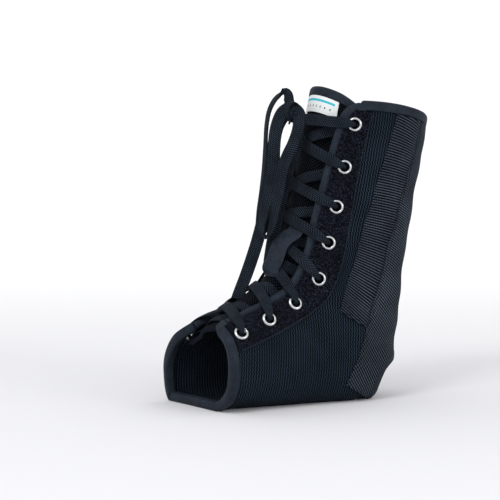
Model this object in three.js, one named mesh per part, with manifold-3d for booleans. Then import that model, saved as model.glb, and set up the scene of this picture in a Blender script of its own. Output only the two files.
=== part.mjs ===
// Lace-up ankle brace: a boot-shaped knitted body with open toe, heel and top,
// an eyelet facing on each side of the front slot, stay pockets, a ribbed rear
// panel with two heel legs, a padded tongue, folded bindings, eyelets and a lace.
//
// Millimetres. +Z up, toes towards -Y, origin on the flat sole, midway along it.
// The +X side is the inner (medial) side of a right foot.

import * as THREE from "three";
import Module from "manifold-3d";
import { mergeVertices } from "three/addons/utils/BufferGeometryUtils.js";

// Overall sizes
const BRACE_LENGTH = 180;
const BRACE_HEIGHT = 216;
const BRACE_WIDTH = 86;

// Walls and clearances
const BODY_WALL = 2.2;
const OVERLAY_THICKNESS = 1.2;
const SEAT_GAP = 0.3;
const SIDE_GAP = 0.5;
const FOLD_GAP = 0.5;

// Slot, facings and eyelets
const SLOT_WIDTH = 52;
const FACING_WIDTH = 28;
const EYELET_SETBACK = 12.5;
const EYELET_HOLE_RADIUS = 3.2;
const EYELET_BARREL_WALL = 0.6;
const EYELET_FLANGE_RADIUS = 5;
const EYELET_FLANGE_HEIGHT = 0.9;
const EYELET_CLEARANCE = 0.35;

// Bindings: width seen on the outside, tape thickness
const BINDING_TAPE = 1;
const SLOT_BINDING_WIDTH = 4;
const COLLAR_BINDING_WIDTH = 5.5;
const TOE_BINDING_WIDTH = 5;
const HEEL_BINDING_WIDTH = 5;
const FACE_ALLOWANCE = 0.2;
const TAPE_END_GAP = 1.3;
const TOE_SEAT_ALLOWANCE = 1.2;
const HEEL_SEAT_ALLOWANCE = 1.9;
const HEEL_HOLE_ALLOWANCE = 1.2;
const FACING_END_GAP = 2.6;
const COLLAR_CORNER_RADIUS = 12;
const TOE_CORNER_RADIUS = 9;
const COLLAR_SIDE_RISE = 5;

// Tongue, label and keeper
const TONGUE_THICKNESS = 3.2;
const TONGUE_OVERLAP = 13;
const TONGUE_RISE = 9;
const TONGUE_SINK = 3;
const TONGUE_TOE_DIP = 2.1;
const TONGUE_BINDING_WIDTH = 5;
const LABEL_WIDTH = 38;
const LABEL_HEIGHT = 12;
const LABEL_THICKNESS = 0.4;
const KEEPER_WIDTH = 13;
const KEEPER_THICKNESS = 1;

// Lace
const LACE_WIDTH = 9;
const LACE_THICKNESS = 1.4;
const LACE_BUNCHED_WIDTH = 3.4;
const LACE_BUNCHED_THICKNESS = 1.8;
const LACE_GAP = 0.4;

// The form: one row for each section, toe opening first, collar last.
// frontX is a share of BRACE_WIDTH; frontY and backY are shares of BRACE_LENGTH;
// frontZ and backZ are shares of BRACE_HEIGHT; half is a share of BRACE_WIDTH.
// frontPower and backPower square off the section, tilt drops the outer side,
// yaw turns the section in degrees. slot is a share of SLOT_WIDTH (half slot),
// facing of FACING_WIDTH; stayFront and stayRear place the stay pocket's edges
// as shares of BRACE_WIDTH, measured round the section from its front line.
const SECTIONS = [
  {
    frontX: 0.07, frontY: -0.375, frontZ: 0.269, backY: -0.35, backZ: -0.014, half: 0.5,
    frontPower: 2.25, backPower: 3, tilt: 0.16, yaw: 11,
    slot: 0.404, facing: 1, stayFront: 0.84, stayRear: 1.14,
  },
  {
    frontX: 0.058, frontY: -0.27, frontZ: 0.315, backY: -0.213, backZ: -0.014, half: 0.477,
    frontPower: 2.2, backPower: 3, tilt: 0.14, yaw: 9,
    slot: 0.442, facing: 0.93, stayFront: 0.84, stayRear: 1.14,
  },
  {
    frontX: 0.047, frontY: -0.168, frontZ: 0.366, backY: -0.046, backZ: -0.014, half: 0.453,
    frontPower: 2.2, backPower: 3, tilt: 0.11, yaw: 6,
    slot: 0.481, facing: 0.88, stayFront: 0.84, stayRear: 1.14,
  },
  {
    frontX: 0.023, frontY: -0.094, frontZ: 0.407, backY: 0.144, backZ: -0.014, half: 0.43,
    frontPower: 2.1, backPower: 2.9, tilt: 0.08, yaw: 2,
    slot: 0.5, facing: 0.84, stayFront: 0.88, stayRear: 1.36,
  },
  {
    frontX: 0, frontY: -0.05, frontZ: 0.444, backY: 0.322, backZ: -0.014, half: 0.419,
    frontPower: 2.1, backPower: 2.7, tilt: 0.04, yaw: 0,
    slot: 0.5, facing: 0.91, stayFront: 0.84, stayRear: 1.225,
  },
  {
    frontX: 0, frontY: -0.028, frontZ: 0.477, backY: 0.45, backZ: 0.046, half: 0.413,
    frontPower: 2.1, backPower: 2.5, tilt: 0.03, yaw: 0,
    slot: 0.5, facing: 1, stayFront: 0.79, stayRear: 1.11,
  },
  {
    frontX: 0, frontY: -0.011, frontZ: 0.514, backY: 0.478, backZ: 0.176, half: 0.407,
    frontPower: 2.1, backPower: 2.3, tilt: 0.02, yaw: 0,
    slot: 0.5, facing: 1.02, stayFront: 0.735, stayRear: 1.05,
  },
  {
    frontX: 0, frontY: 0.006, frontZ: 0.556, backY: 0.5, backZ: 0.324, half: 0.401,
    frontPower: 2.1, backPower: 2.2, tilt: 0, yaw: 0,
    slot: 0.5, facing: 0.98, stayFront: 0.723, stayRear: 1.01,
  },
  {
    frontX: 0, frontY: 0.022, frontZ: 0.62, backY: 0.528, backZ: 0.481, half: 0.407,
    frontPower: 2.1, backPower: 2.1, tilt: 0, yaw: 0,
    slot: 0.5, facing: 0.94, stayFront: 0.731, stayRear: 1.02,
  },
  {
    frontX: 0, frontY: 0.056, frontZ: 0.718, backY: 0.561, backZ: 0.648, half: 0.424,
    frontPower: 2.1, backPower: 2.1, tilt: 0, yaw: 0,
    slot: 0.519, facing: 0.86, stayFront: 0.757, stayRear: 1.052,
  },
  {
    frontX: 0, frontY: 0.094, frontZ: 0.856, backY: 0.594, backZ: 0.792, half: 0.453,
    frontPower: 2.1, backPower: 2.1, tilt: 0.02, yaw: 0,
    slot: 0.577, facing: 0.78, stayFront: 0.807, stayRear: 1.105,
  },
  {
    frontX: 0, frontY: 0.133, frontZ: 1, backY: 0.625, backZ: 0.917, half: 0.483,
    frontPower: 2.1, backPower: 2.1, tilt: 0.05, yaw: 0,
    slot: 0.673, facing: 0.71, stayFront: 0.855, stayRear: 1.17,
  },
];
const LAST = SECTIONS.length - 1;

// Where the eyelets stand, toe end first: station along the form, and the
// distance from the slot edge as a share of EYELET_SETBACK
const EYELETS = [
  { station: 0.62, setback: 1.3 },
  { station: 1.8, setback: 1.12 },
  { station: 3.3, setback: 1 },
  { station: 5.55, setback: 1.3 },
  { station: 7.38, setback: 1.15 },
  { station: 8.56, setback: 1.12 },
  { station: 9.55, setback: 1 },
  { station: 10.53, setback: 0.86 },
];

// The heel opening in side view: y a share of BRACE_LENGTH, z of BRACE_HEIGHT
const HEEL_EDGE = [
  { y: 0.36, z: -0.06 },
  { y: 0.36, z: 0.02 },
  { y: 0.363, z: 0.065 },
  { y: 0.378, z: 0.102 },
  { y: 0.41, z: 0.124 },
  { y: 0.45, z: 0.134 },
  { y: 0.51, z: 0.139 },
  { y: 0.62, z: 0.142 },
];

// The heel legs' slanting lower end in side view, and the height they stop at:
// y a share of BRACE_LENGTH, z of BRACE_HEIGHT
const LEG_END = [
  { y: 0.15, z: 0.088 },
  { y: 0.37, z: -0.012 },
  { y: 0.37, z: -0.2 },
  { y: 0.15, z: -0.2 },
];
const LEG_LOWEST = 2.6;
const LEG_FIRST_STATION = 3.3;

// The two ends of each stay pocket: lower edge at its front and rear corner
const STAY_LOW_FRONT = 5.05;
const STAY_LOW_REAR = 5.45;

// Routes of the free stretches of the lace: x, y and z in millimetres, and the
// heading of the lace's width in degrees
const OUTER_LOOP = [
  [-7.1, 10.3, 212.6, -26], [-11, 10.8, 218.5, -26], [-16, 9.2, 220.5, -26], [-20.5, 4.8, 216.4, -26],
  [-23.5, 0.6, 208.6, -26], [-25, -1.3, 197.8, -26], [-25, -1.8, 179.7, -26], [-24.5, -2.8, 161.7, -26],
  [-23.5, -4.6, 143.7, -26], [-21.5, -6.6, 128, -26], [-18.5, -7.5, 119, -26], [-15, -7, 121.5, -10],
  [-14, -6, 136.8, 20], [-14, -4.6, 158.3, 40], [-14, -3, 179.7, 50], [-13, 1, 199.7, 50],
  [-9.1, 6.3, 207.5, 50],
];
const INNER_LOOP = [
  [4.7, 5.9, 202.8, 40], [7.5, 4, 197, 40], [9, 1, 186, 40], [9.5, -1.8, 172, 40], [9, -4, 158.4, 40],
  [8, -6.5, 140.7, 30], [6.5, -9.5, 126, 10], [4.5, -13, 119, 0], [2, -16, 122.3, 0],
  [0.5, -15.2, 137, 20], [0, -12, 158.4, 40], [-0.5, -8, 179.7, 50], [-1, -3.2, 194, 60], [-2, 1.4, 202.4, 60],
];
const LONG_END = [
  [-6, 5.5, 201.6, 50], [-6, -2.5, 193, 60], [-9.5, -9.5, 180.3, 64], [-12, -13, 166.9, 64],
  [-13.5, -15.5, 150.9, 64], [-14, -18, 132.9, 64], [-14, -22, 115.1, 64], [-13, -27, 100.9, 60],
  [-11, -32, 90, 50], [-8, -37, 82.5, 40],
];
const SHORT_END = [
  [2, 10.6, 199.6, 20], [2, 8.5, 189, 20], [1, 5, 176, 20], [-0.5, 2.2, 164, 20], [-2, -0.4, 151, 20],
  [-3, -4, 138, 20], [-4, -6.8, 126, 20], [-4.5, -9.6, 115, 20], [-5, -12, 103, 20], [-5, -14, 94, 20],
];
const CORD_STEP = 12;
const KNOT_CENTRE = [0, 9, 207];
const KNOT_SIZE = [13, 9, 15];

const UP = new THREE.Vector3(0, 0, 1);

function lerp(a, b, share) {
  return a + (b - a) * share;
}

function smooth(share) {
  const s = Math.min(1, Math.max(0, share));
  return s * s * (3 - 2 * s);
}

// Smooth interpolation down one column of a table with evenly spaced rows
function between(rows, name, station) {
  const i = Math.min(rows.length - 2, Math.max(0, Math.floor(station)));
  const f = station - i;
  const b = rows[i][name];
  const c = rows[i + 1][name];
  const a = i > 0 ? rows[i - 1][name] : 2 * b - c;
  const d = i < rows.length - 2 ? rows[i + 2][name] : 2 * c - b;
  const bend = (2 * a - 5 * b + 4 * c - d) * f * f;
  const twist = (3 * b - a - 3 * c + d) * f * f * f;
  return 0.5 * (2 * b + (c - a) * f + bend + twist);
}

function signedPower(value, exponent) {
  return Math.sign(value) * Math.abs(value) ** exponent;
}

// The sole is lifted by the tape's thickness where a binding passes under it
function soleHeight(station) {
  const lift = BINDING_TAPE + SEAT_GAP + 3 * FACE_ALLOWANCE;
  const atToe = 1 - smooth((station - 0.4) / 0.5);
  const atHeel = smooth((station - 3.65) / 0.3);
  return lift * Math.max(atToe, atHeel);
}

// A point of the outer surface at a station and an angle from the front line
function sectionPoint(station, angle) {
  const row = (name) => between(SECTIONS, name, station);
  const front = new THREE.Vector3(
    row("frontX") * BRACE_WIDTH, row("frontY") * BRACE_LENGTH, row("frontZ") * BRACE_HEIGHT);
  const back = new THREE.Vector3(0, row("backY") * BRACE_LENGTH, row("backZ") * BRACE_HEIGHT);
  const centre = front.clone().add(back).multiplyScalar(0.5);
  const arm = front.clone().sub(back).multiplyScalar(0.5);
  const armUnit = arm.clone().normalize();
  const yaw = THREE.MathUtils.degToRad(row("yaw"));
  const across = new THREE.Vector3(Math.cos(yaw), Math.sin(yaw), 0);
  const cos = Math.cos(angle);
  const sin = Math.sin(angle);
  const exponent = 2 / (cos > 0 ? row("frontPower") : row("backPower"));
  const side = signedPower(sin, exponent) * row("half") * BRACE_WIDTH;
  const point = centre
    .addScaledVector(arm, signedPower(cos, exponent))
    .addScaledVector(across, side)
    .addScaledVector(armUnit, side * row("tilt"));
  point.z = Math.max(point.z, soleHeight(station));
  return point;
}

// Grid of the walls, and sides of the round pieces
const CORNER_STEPS = 3;
const MIDDLE_STATIONS = [1.1, 2.1, 3, 3.65, 3.95, 4.35, 4.7, 5.2, 5.9, 6.7, 7.6, 8.5, 9.4, 10.1];
const REAR_SHARES = [0.2, 0.42, 0.68, 1];
const EYELET_SIDES = 8;

const SECTION_STEPS = 90;
const sectionCache = new Map();

// Running length round one side of a section, from the front line to the back
function halfSection(station, side) {
  const key = `${station.toFixed(5)} ${side}`;
  if (!sectionCache.has(key)) {
    const points = [];
    const lengths = [0];
    for (let i = 0; i <= SECTION_STEPS; i += 1) {
      points.push(sectionPoint(station, side * Math.PI * i / SECTION_STEPS));
      if (i > 0) lengths.push(lengths[i - 1] + points[i].distanceTo(points[i - 1]));
    }
    sectionCache.set(key, { points, lengths, total: lengths[SECTION_STEPS] });
  }
  return sectionCache.get(key);
}

function halfGirth(station, side) {
  return halfSection(station, side).total;
}

// A point of the outer surface at a station and a signed distance from the front line
function surfacePoint(station, round) {
  const side = round < 0 ? -1 : 1;
  const { points, lengths, total } = halfSection(station, side);
  let reach = Math.abs(round);
  if (reach >= total) {
    const rest = reach - total;
    return rest < 1e-9 ? points[SECTION_STEPS].clone() : surfacePoint(station, -side * (total - rest));
  }
  let low = 0;
  let high = SECTION_STEPS;
  while (high - low > 1) {
    const middle = (low + high) >> 1;
    if (lengths[middle] <= reach) low = middle;
    else high = middle;
  }
  reach = (reach - lengths[low]) / (lengths[high] - lengths[low]);
  return points[low].clone().lerp(points[high], reach);
}

const SAMPLE = 2.5;

// Unit outward normal, from points a little to each side
function surfaceNormal(station, round) {
  const step = 0.06;
  const ahead = surfacePoint(station + step, round).sub(surfacePoint(station - step, round));
  const across = surfacePoint(station, round + SAMPLE).sub(surfacePoint(station, round - SAMPLE));
  return across.cross(ahead).normalize();
}

function offsetPoint(station, round, offset) {
  return surfacePoint(station, round).addScaledVector(surfaceNormal(station, round), offset);
}

// Millimetres along the surface for one station at a place
function stationLength(station, round) {
  const step = 0.1;
  return surfacePoint(station + step, round).distanceTo(surfacePoint(station - step, round)) / (2 * step);
}

function halfSlot(station) {
  return between(SECTIONS, "slot", station) * SLOT_WIDTH;
}

// How far along the half section a place lies, 0 at the slot and 1 at the back
function wrapShare(station, round) {
  const total = halfGirth(station, round < 0 ? -1 : 1);
  const slot = halfSlot(station);
  return Math.min(1, Math.max(0, (Math.abs(round) - slot) / (total - slot)));
}

// The station of the collar's edge, which rises a little at each side
function collarStation(round) {
  const rise = COLLAR_SIDE_RISE * Math.sin(Math.PI * wrapShare(LAST, round));
  return LAST + rise / stationLength(LAST, round);
}

// How far a rounded corner draws the edge back at a distance from its end
function cornerInset(distance, radius) {
  if (distance >= radius) return 0;
  const rest = radius - Math.max(0, distance);
  return radius - Math.sqrt(radius * radius - rest * rest);
}

// Distance round from the front line to the slot's edge, with its two corners
function slotEdge(station) {
  const slot = halfSlot(station);
  const toCollar = (collarStation(slot) - station) * stationLength(LAST - 0.2, slot);
  const toToe = station * stationLength(0.2, slot);
  return slot + cornerInset(toCollar, COLLAR_CORNER_RADIUS) + cornerInset(toToe, TOE_CORNER_RADIUS);
}

// How far in from the straight slot edge the tapes reach at one end of the slot
function endInset(distance, radius, width) {
  const reach = width + 1.5 * SIDE_GAP;
  if (distance < reach) return radius + (reach - distance) / 2;
  if (distance < radius) return radius - Math.sqrt((radius - reach) ** 2 - (radius - distance) ** 2);
  const plain = SLOT_BINDING_WIDTH + SIDE_GAP;
  return lerp(reach, plain, smooth((distance - radius) / reach));
}

function tapedInset(station) {
  const slot = halfSlot(station);
  const toCollar = (collarStation(slot) - station) * stationLength(LAST - 0.2, slot);
  const toToe = station * stationLength(0.2, slot);
  return Math.max(
    endInset(toCollar, COLLAR_CORNER_RADIUS, COLLAR_BINDING_WIDTH),
    endInset(toToe, TOE_CORNER_RADIUS, TOE_BINDING_WIDTH));
}

// Lines round the form that every layer shares: the distances from the front
// line of the slot's edge, its tape, the facing, the stay pocket and the back
function columnRounds(station, side) {
  const slot = slotEdge(station);
  const half = halfSlot(station);
  const taped = half + tapedInset(station);
  const seam = half + between(SECTIONS, "facing", station) * FACING_WIDTH;
  const front = between(SECTIONS, "stayFront", station) * BRACE_WIDTH;
  const rear = between(SECTIONS, "stayRear", station) * BRACE_WIDTH;
  const back = halfGirth(station, side);
  const rounds = [slot, taped, (taped + seam) / 2, seam, front, (front + rear) / 2, rear];
  REAR_SHARES.forEach((share) => rounds.push(lerp(rear, back, share)));
  return rounds.map((round) => side * round);
}
const TAPED = 1;
const SEAM = 3;
const STAY_FRONT = 4;
const STAY_REAR = 6;
const BACK = STAY_REAR + REAR_SHARES.length;

// Distances from an end edge at which rows follow its rounded corners
function cornerDistances(radius) {
  const distances = [];
  for (let k = 0; k <= CORNER_STEPS; k += 1) {
    distances.push(radius * (1 - Math.sin(Math.PI / 2 * (CORNER_STEPS - k) / CORNER_STEPS)));
  }
  return distances;
}

// Stations of the shared rows, toe edge first, at a distance round the form
function rowStations(round) {
  const slot = halfSlot(0);
  const toe = cornerDistances(TOE_CORNER_RADIUS).map((distance) => distance / stationLength(0.2, slot));
  const collarStep = stationLength(LAST - 0.2, halfSlot(LAST));
  const top = collarStation(round);
  const collar = cornerDistances(COLLAR_CORNER_RADIUS)
    .map((distance) => top - distance / collarStep)
    .reverse();
  return [...toe, ...MIDDLE_STATIONS, ...collar];
}

// The grid's place at a row and a column of one side
function gridPlace(row, column, side) {
  const rough = rowStations(side * halfSlot(LAST))[row];
  const round = columnRounds(Math.min(rough, LAST), side)[column];
  const station = rowStations(round)[row];
  return { station, round: columnRounds(station, side)[column] };
}

// A place on one column at a given station
function columnPlace(station, column, side) {
  return { station, round: columnRounds(station, side)[column] };
}

// Columns of a piece that goes on round the back to the other side
function wrapColumns(first) {
  const columns = [];
  for (let k = first; k <= BACK; k += 1) columns.push({ column: k, side: 1 });
  for (let k = BACK - 1; k >= first; k -= 1) columns.push({ column: k, side: -1 });
  return columns;
}

// Columns of a piece on one side
function sideColumns(first, last, side) {
  const columns = [];
  for (let k = first; k <= last; k += 1) columns.push({ column: k, side });
  return side > 0 ? columns : columns.reverse();
}

// Places of a layer: its own two end lines, and the shared rows between them.
// low and high give the end stations for a column.
function layerPlaces(columns, low, high) {
  const ends = columns.map(({ column, side }) => ({ low: low(column, side), high: high(column, side) }));
  const lowest = Math.max(...ends.map((end) => end.low));
  const highest = Math.min(...ends.map((end) => end.high));
  const rows = rowStations(halfSlot(LAST));
  const kept = rows.map((station, i) => [station, i])
    .filter(([station]) => station > lowest + 0.12 && station < highest - 0.12)
    .map(([, i]) => i);
  const lines = [
    columns.map(({ column, side }, j) => columnPlace(ends[j].low, column, side)),
    ...kept.map((row) => columns.map(({ column, side }) => gridPlace(row, column, side))),
    columns.map(({ column, side }, j) => columnPlace(ends[j].high, column, side)),
  ];
  return lines;
}

// A closed wall over lines of places, between an inner and an outer offset
function wallGeometry(lines, innerAt, outerAt) {
  const rows = lines.length - 1;
  const columns = lines[0].length - 1;
  const outer = [];
  const inner = [];
  lines.forEach((line) => line.forEach((spot) => {
    outer.push(offsetPoint(spot.station, spot.round, outerAt(spot)));
    inner.push(offsetPoint(spot.station, spot.round, innerAt(spot)));
  }));
  const count = outer.length;
  const at = (i, j) => i * (columns + 1) + j;
  const index = [];
  const quad = (a, b, c, d) => index.push(a, b, c, a, c, d);
  for (let i = 0; i < rows; i += 1) {
    for (let j = 0; j < columns; j += 1) {
      quad(at(i, j), at(i, j + 1), at(i + 1, j + 1), at(i + 1, j));
      quad(count + at(i, j), count + at(i + 1, j), count + at(i + 1, j + 1), count + at(i, j + 1));
    }
  }
  for (let j = 0; j < columns; j += 1) {
    quad(at(0, j + 1), at(0, j), count + at(0, j), count + at(0, j + 1));
    quad(at(rows, j), at(rows, j + 1), count + at(rows, j + 1), count + at(rows, j));
  }
  for (let i = 0; i < rows; i += 1) {
    quad(at(i, 0), at(i + 1, 0), count + at(i + 1, 0), count + at(i, 0));
    quad(at(i + 1, columns), at(i, columns), count + at(i, columns), count + at(i + 1, columns));
  }
  return facingOut(meshFrom([...outer, ...inner], index));
}

function meshFrom(points, index) {
  const geometry = new THREE.BufferGeometry();
  geometry.setAttribute("position", new THREE.Float32BufferAttribute(points.flatMap((p) => p.toArray()), 3));
  geometry.setIndex(index);
  return geometry;
}

// Signed volume of a closed mesh
function signedVolume(geometry) {
  const position = geometry.getAttribute("position");
  const index = geometry.getIndex();
  const a = new THREE.Vector3();
  const b = new THREE.Vector3();
  const c = new THREE.Vector3();
  let volume = 0;
  for (let i = 0; i < index.count; i += 3) {
    a.fromBufferAttribute(position, index.getX(i));
    b.fromBufferAttribute(position, index.getX(i + 1));
    c.fromBufferAttribute(position, index.getX(i + 2));
    volume += a.dot(b.cross(c)) / 6;
  }
  return volume;
}

// Turns every face over if the mesh is inside out
function facingOut(geometry) {
  if (signedVolume(geometry) < 0) {
    const order = Array.from(geometry.getIndex().array);
    for (let i = 0; i < order.length; i += 3) {
      [order[i + 1], order[i + 2]] = [order[i + 2], order[i + 1]];
    }
    geometry.setIndex(order);
  }
  geometry.computeVertexNormals();
  return geometry;
}

// A solid through a list of rings of points, closed on itself or capped
function ringsGeometry(rings, closed = false) {
  const size = rings[0].length;
  const points = rings.flat();
  const index = [];
  const steps = closed ? rings.length : rings.length - 1;
  for (let i = 0; i < steps; i += 1) {
    const next = (i + 1) % rings.length;
    for (let k = 0; k < size; k += 1) {
      const turn = (k + 1) % size;
      const [a, b, c, d] = [i * size + k, i * size + turn, next * size + turn, next * size + k];
      index.push(a, b, c, a, c, d);
    }
  }
  if (!closed) {
    addCap(rings[0], 0, index, true);
    addCap(rings[rings.length - 1], (rings.length - 1) * size, index, false);
  }
  return facingOut(meshFrom(points, index));
}

// Closes one end of a ring solid, seen along its own mean normal
function addCap(ring, first, index, reverse) {
  const normal = new THREE.Vector3();
  ring.forEach((point, k) => normal.add(point.clone().cross(ring[(k + 1) % ring.length])));
  normal.normalize();
  const u = ring[1].clone().sub(ring[0]).normalize();
  u.addScaledVector(normal, -u.dot(normal)).normalize();
  const v = normal.clone().cross(u);
  const flat = ring.map((point) => new THREE.Vector2(point.dot(u), point.dot(v)));
  THREE.ShapeUtils.triangulateShape(flat, []).forEach(([a, b, c]) => {
    index.push(...(reverse ? [first + a, first + c, first + b] : [first + a, first + b, first + c]));
  });
}

function sweepGeometry(frames, profileAt) {
  return ringsGeometry(frames.map((frame, i) => profileAt(i).map(([side, out]) => (
    frame.point.clone().addScaledVector(frame.side, side).addScaledVector(frame.out, out)))));
}

// A flat ring of points for a lace or strap section
function ribbonProfile(width, thickness, sides) {
  const profile = [];
  for (let k = 0; k < sides; k += 1) {
    const turn = 2 * Math.PI * (k + 0.5) / sides;
    const x = signedPower(Math.cos(turn), 0.55);
    const y = signedPower(Math.sin(turn), 0.55);
    profile.push([x * width / 2, y * thickness / 2]);
  }
  const reachX = Math.max(...profile.map(([x]) => x)) / (width / 2);
  const reachY = Math.max(...profile.map(([, y]) => y)) / (thickness / 2);
  return profile.map(([x, y]) => [x / reachX, y / reachY]);
}

// Frames along a list of points; outAt gives the flat side's direction
function ribbonFrames(points, outAt) {
  return points.map((point, i) => {
    const before = points[Math.max(0, i - 1)];
    const after = points[Math.min(points.length - 1, i + 1)];
    const tangent = after.clone().sub(before).normalize();
    const side = new THREE.Vector3().crossVectors(tangent, outAt(i)).normalize();
    return { point, side, out: new THREE.Vector3().crossVectors(side, tangent).normalize() };
  });
}

const wasm = await Module();
wasm.setup();

function toSolid(geometry) {
  const plain = geometry.clone();
  plain.deleteAttribute("normal");
  plain.deleteAttribute("uv");
  const merged = mergeVertices(plain, 1e-4);
  return new wasm.Manifold(new wasm.Mesh({
    numProp: 3,
    vertProperties: new Float32Array(merged.getAttribute("position").array),
    triVerts: new Uint32Array(merged.getIndex().array),
  }));
}

function toGeometry(solid) {
  const { vertProperties, triVerts } = solid.getMesh();
  const geometry = new THREE.BufferGeometry();
  geometry.setAttribute("position", new THREE.Float32BufferAttribute(vertProperties, 3));
  geometry.setIndex(Array.from(triVerts));
  geometry.computeVertexNormals();
  return geometry;
}

function cut(geometry, cutters) {
  const rest = cutters.reduce((solid, cutter) => solid.subtract(toSolid(cutter)), toSolid(geometry));
  return toGeometry(rest);
}

// The heel opening's outline in side view, as a smooth curve grown by a margin
function heelOutline(margin) {
  const corners = HEEL_EDGE.map(({ y, z }) => new THREE.Vector2(y * BRACE_LENGTH, z * BRACE_HEIGHT));
  const curve = new THREE.SplineCurve(corners);
  return curve.getPoints(HEEL_EDGE.length * 3).map((point, i, all) => {
    const before = all[Math.max(0, i - 1)];
    const after = all[Math.min(all.length - 1, i + 1)];
    const tangent = after.clone().sub(before).normalize();
    return new THREE.Vector2(point.x - tangent.y * margin, point.y + tangent.x * margin);
  });
}

// A bar through both sides of the brace with an outline drawn in side view
function sideBar(outline) {
  const shape = new THREE.Shape(outline);
  shape.closePath();
  const depth = BRACE_WIDTH * 1.4;
  const geometry = new THREE.ExtrudeGeometry(shape, { depth, bevelEnabled: false, steps: 1 });
  const turn = new THREE.Matrix4().makeBasis(new THREE.Vector3(0, 1, 0), UP, new THREE.Vector3(1, 0, 0));
  geometry.applyMatrix4(turn);
  geometry.translate(-depth / 2, 0, 0);
  return geometry;
}

function heelCutter(margin) {
  const outline = heelOutline(margin);
  return sideBar([...outline, new THREE.Vector2(outline[outline.length - 1].x, outline[0].y)]);
}

function insideOutline(outline, y, z) {
  const loop = [...outline, new THREE.Vector2(outline[outline.length - 1].x, outline[0].y)];
  let inside = false;
  for (let i = 0, j = loop.length - 1; i < loop.length; j = i, i += 1) {
    const a = loop[i];
    const b = loop[j];
    const crosses = (a.y > z) !== (b.y > z);
    if (crosses && y < (b.x - a.x) * (z - a.y) / (b.y - a.y) + a.x) inside = !inside;
  }
  return inside;
}

// Builds

const wallInner = -BODY_WALL;
const overlayInner = SEAT_GAP;
const overlayOuter = SEAT_GAP + OVERLAY_THICKNESS;
const facingOuter = overlayOuter;

function bodyWall() {
  const columns = wrapColumns(0);
  const count = rowStations(halfSlot(LAST)).length;
  const lines = [];
  for (let row = 0; row < count; row += 1) {
    lines.push(columns.map(({ column, side }) => gridPlace(row, column, side)));
  }
  return wallGeometry(lines, () => wallInner, () => 0);
}

function eyeletPlaces() {
  const places = [];
  [1, -1].forEach((side) => {
    EYELETS.forEach(({ station, setback }, i) => {
      const round = side * (halfSlot(station) + setback * EYELET_SETBACK);
      places.push({ side, number: i + 1, station, round });
    });
  });
  return places;
}

// Turns geometry made about +Z so that it stands on the surface at a place
function standOn(geometry, place) {
  const normal = surfaceNormal(place.station, place.round);
  const turn = new THREE.Quaternion().setFromUnitVectors(UP, normal);
  geometry.applyQuaternion(turn);
  const point = surfacePoint(place.station, place.round);
  geometry.translate(point.x, point.y, point.z);
  return geometry;
}

function eyeletCutter(place) {
  const radius = EYELET_HOLE_RADIUS + EYELET_BARREL_WALL + EYELET_CLEARANCE;
  const corner = radius / Math.cos(Math.PI / EYELET_SIDES);
  const depth = 5 * (BODY_WALL + OVERLAY_THICKNESS);
  const geometry = new THREE.CylinderGeometry(corner, corner, depth, EYELET_SIDES);
  geometry.rotateX(Math.PI / 2);
  return standOn(geometry, place);
}

// Flange on the facing and a barrel through both layers
function eyeletGeometry(place) {
  const seat = facingOuter + EYELET_CLEARANCE;
  const barrel = EYELET_HOLE_RADIUS + EYELET_BARREL_WALL;
  const profile = [
    [EYELET_HOLE_RADIUS, wallInner],
    [barrel, wallInner],
    [barrel, seat],
    [EYELET_FLANGE_RADIUS, seat],
    [EYELET_HOLE_RADIUS, seat + EYELET_FLANGE_HEIGHT * 0.8],
    [EYELET_HOLE_RADIUS, wallInner],
  ].map(([r, h]) => new THREE.Vector2(r, h));
  const geometry = new THREE.LatheGeometry(profile, EYELET_SIDES);
  geometry.rotateX(Math.PI / 2);
  return standOn(facingOut(geometry), place);
}

// The station a margin below the collar's edge, or above the toe's
function belowCollar(margin, column, side) {
  const round = columnRounds(LAST, side)[column];
  return collarStation(round) - margin / stationLength(LAST - 0.2, round);
}

function aboveToe(margin, column, side) {
  return margin / stationLength(0.2, columnRounds(0, side)[column]);
}

// The facing beside the slot, between the bindings
function facingWall(side) {
  const lines = layerPlaces(
    sideColumns(TAPED, SEAM, side),
    (column) => aboveToe(TOE_BINDING_WIDTH + FACING_END_GAP, column, side),
    (column) => belowCollar(COLLAR_BINDING_WIDTH + FACING_END_GAP, column, side));
  return wallGeometry(lines, () => overlayInner, () => overlayOuter);
}

function stayPocket(side) {
  const lines = layerPlaces(
    sideColumns(STAY_FRONT, STAY_REAR, side),
    (column) => lerp(STAY_LOW_FRONT, STAY_LOW_REAR, (column - STAY_FRONT) / (STAY_REAR - STAY_FRONT)),
    (column) => belowCollar(COLLAR_BINDING_WIDTH + SIDE_GAP, column, side));
  lines.forEach((line) => {
    line[line.length - 1].round -= side * SIDE_GAP;
  });
  return wallGeometry(lines, () => overlayInner, () => overlayOuter);
}

// The ribbed panel behind the stay pockets, with a leg down each side of the heel
function rearPanel() {
  const lines = layerPlaces(
    wrapColumns(STAY_REAR),
    () => LEG_FIRST_STATION,
    (column, side) => belowCollar(COLLAR_BINDING_WIDTH + SIDE_GAP, column, side));
  const wall = wallGeometry(lines, () => overlayInner, () => overlayOuter);
  const floor = new THREE.BoxGeometry(BRACE_WIDTH * 2, BRACE_LENGTH * 2, BRACE_HEIGHT);
  floor.translate(0, 0, LEG_LOWEST - BRACE_HEIGHT / 2);
  const legEnd = sideBar(LEG_END.map(({ y, z }) => new THREE.Vector2(y * BRACE_LENGTH, z * BRACE_HEIGHT)));
  return cut(wall, [heelCutter(HEEL_BINDING_WIDTH + SIDE_GAP), legEnd, floor]);
}

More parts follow.
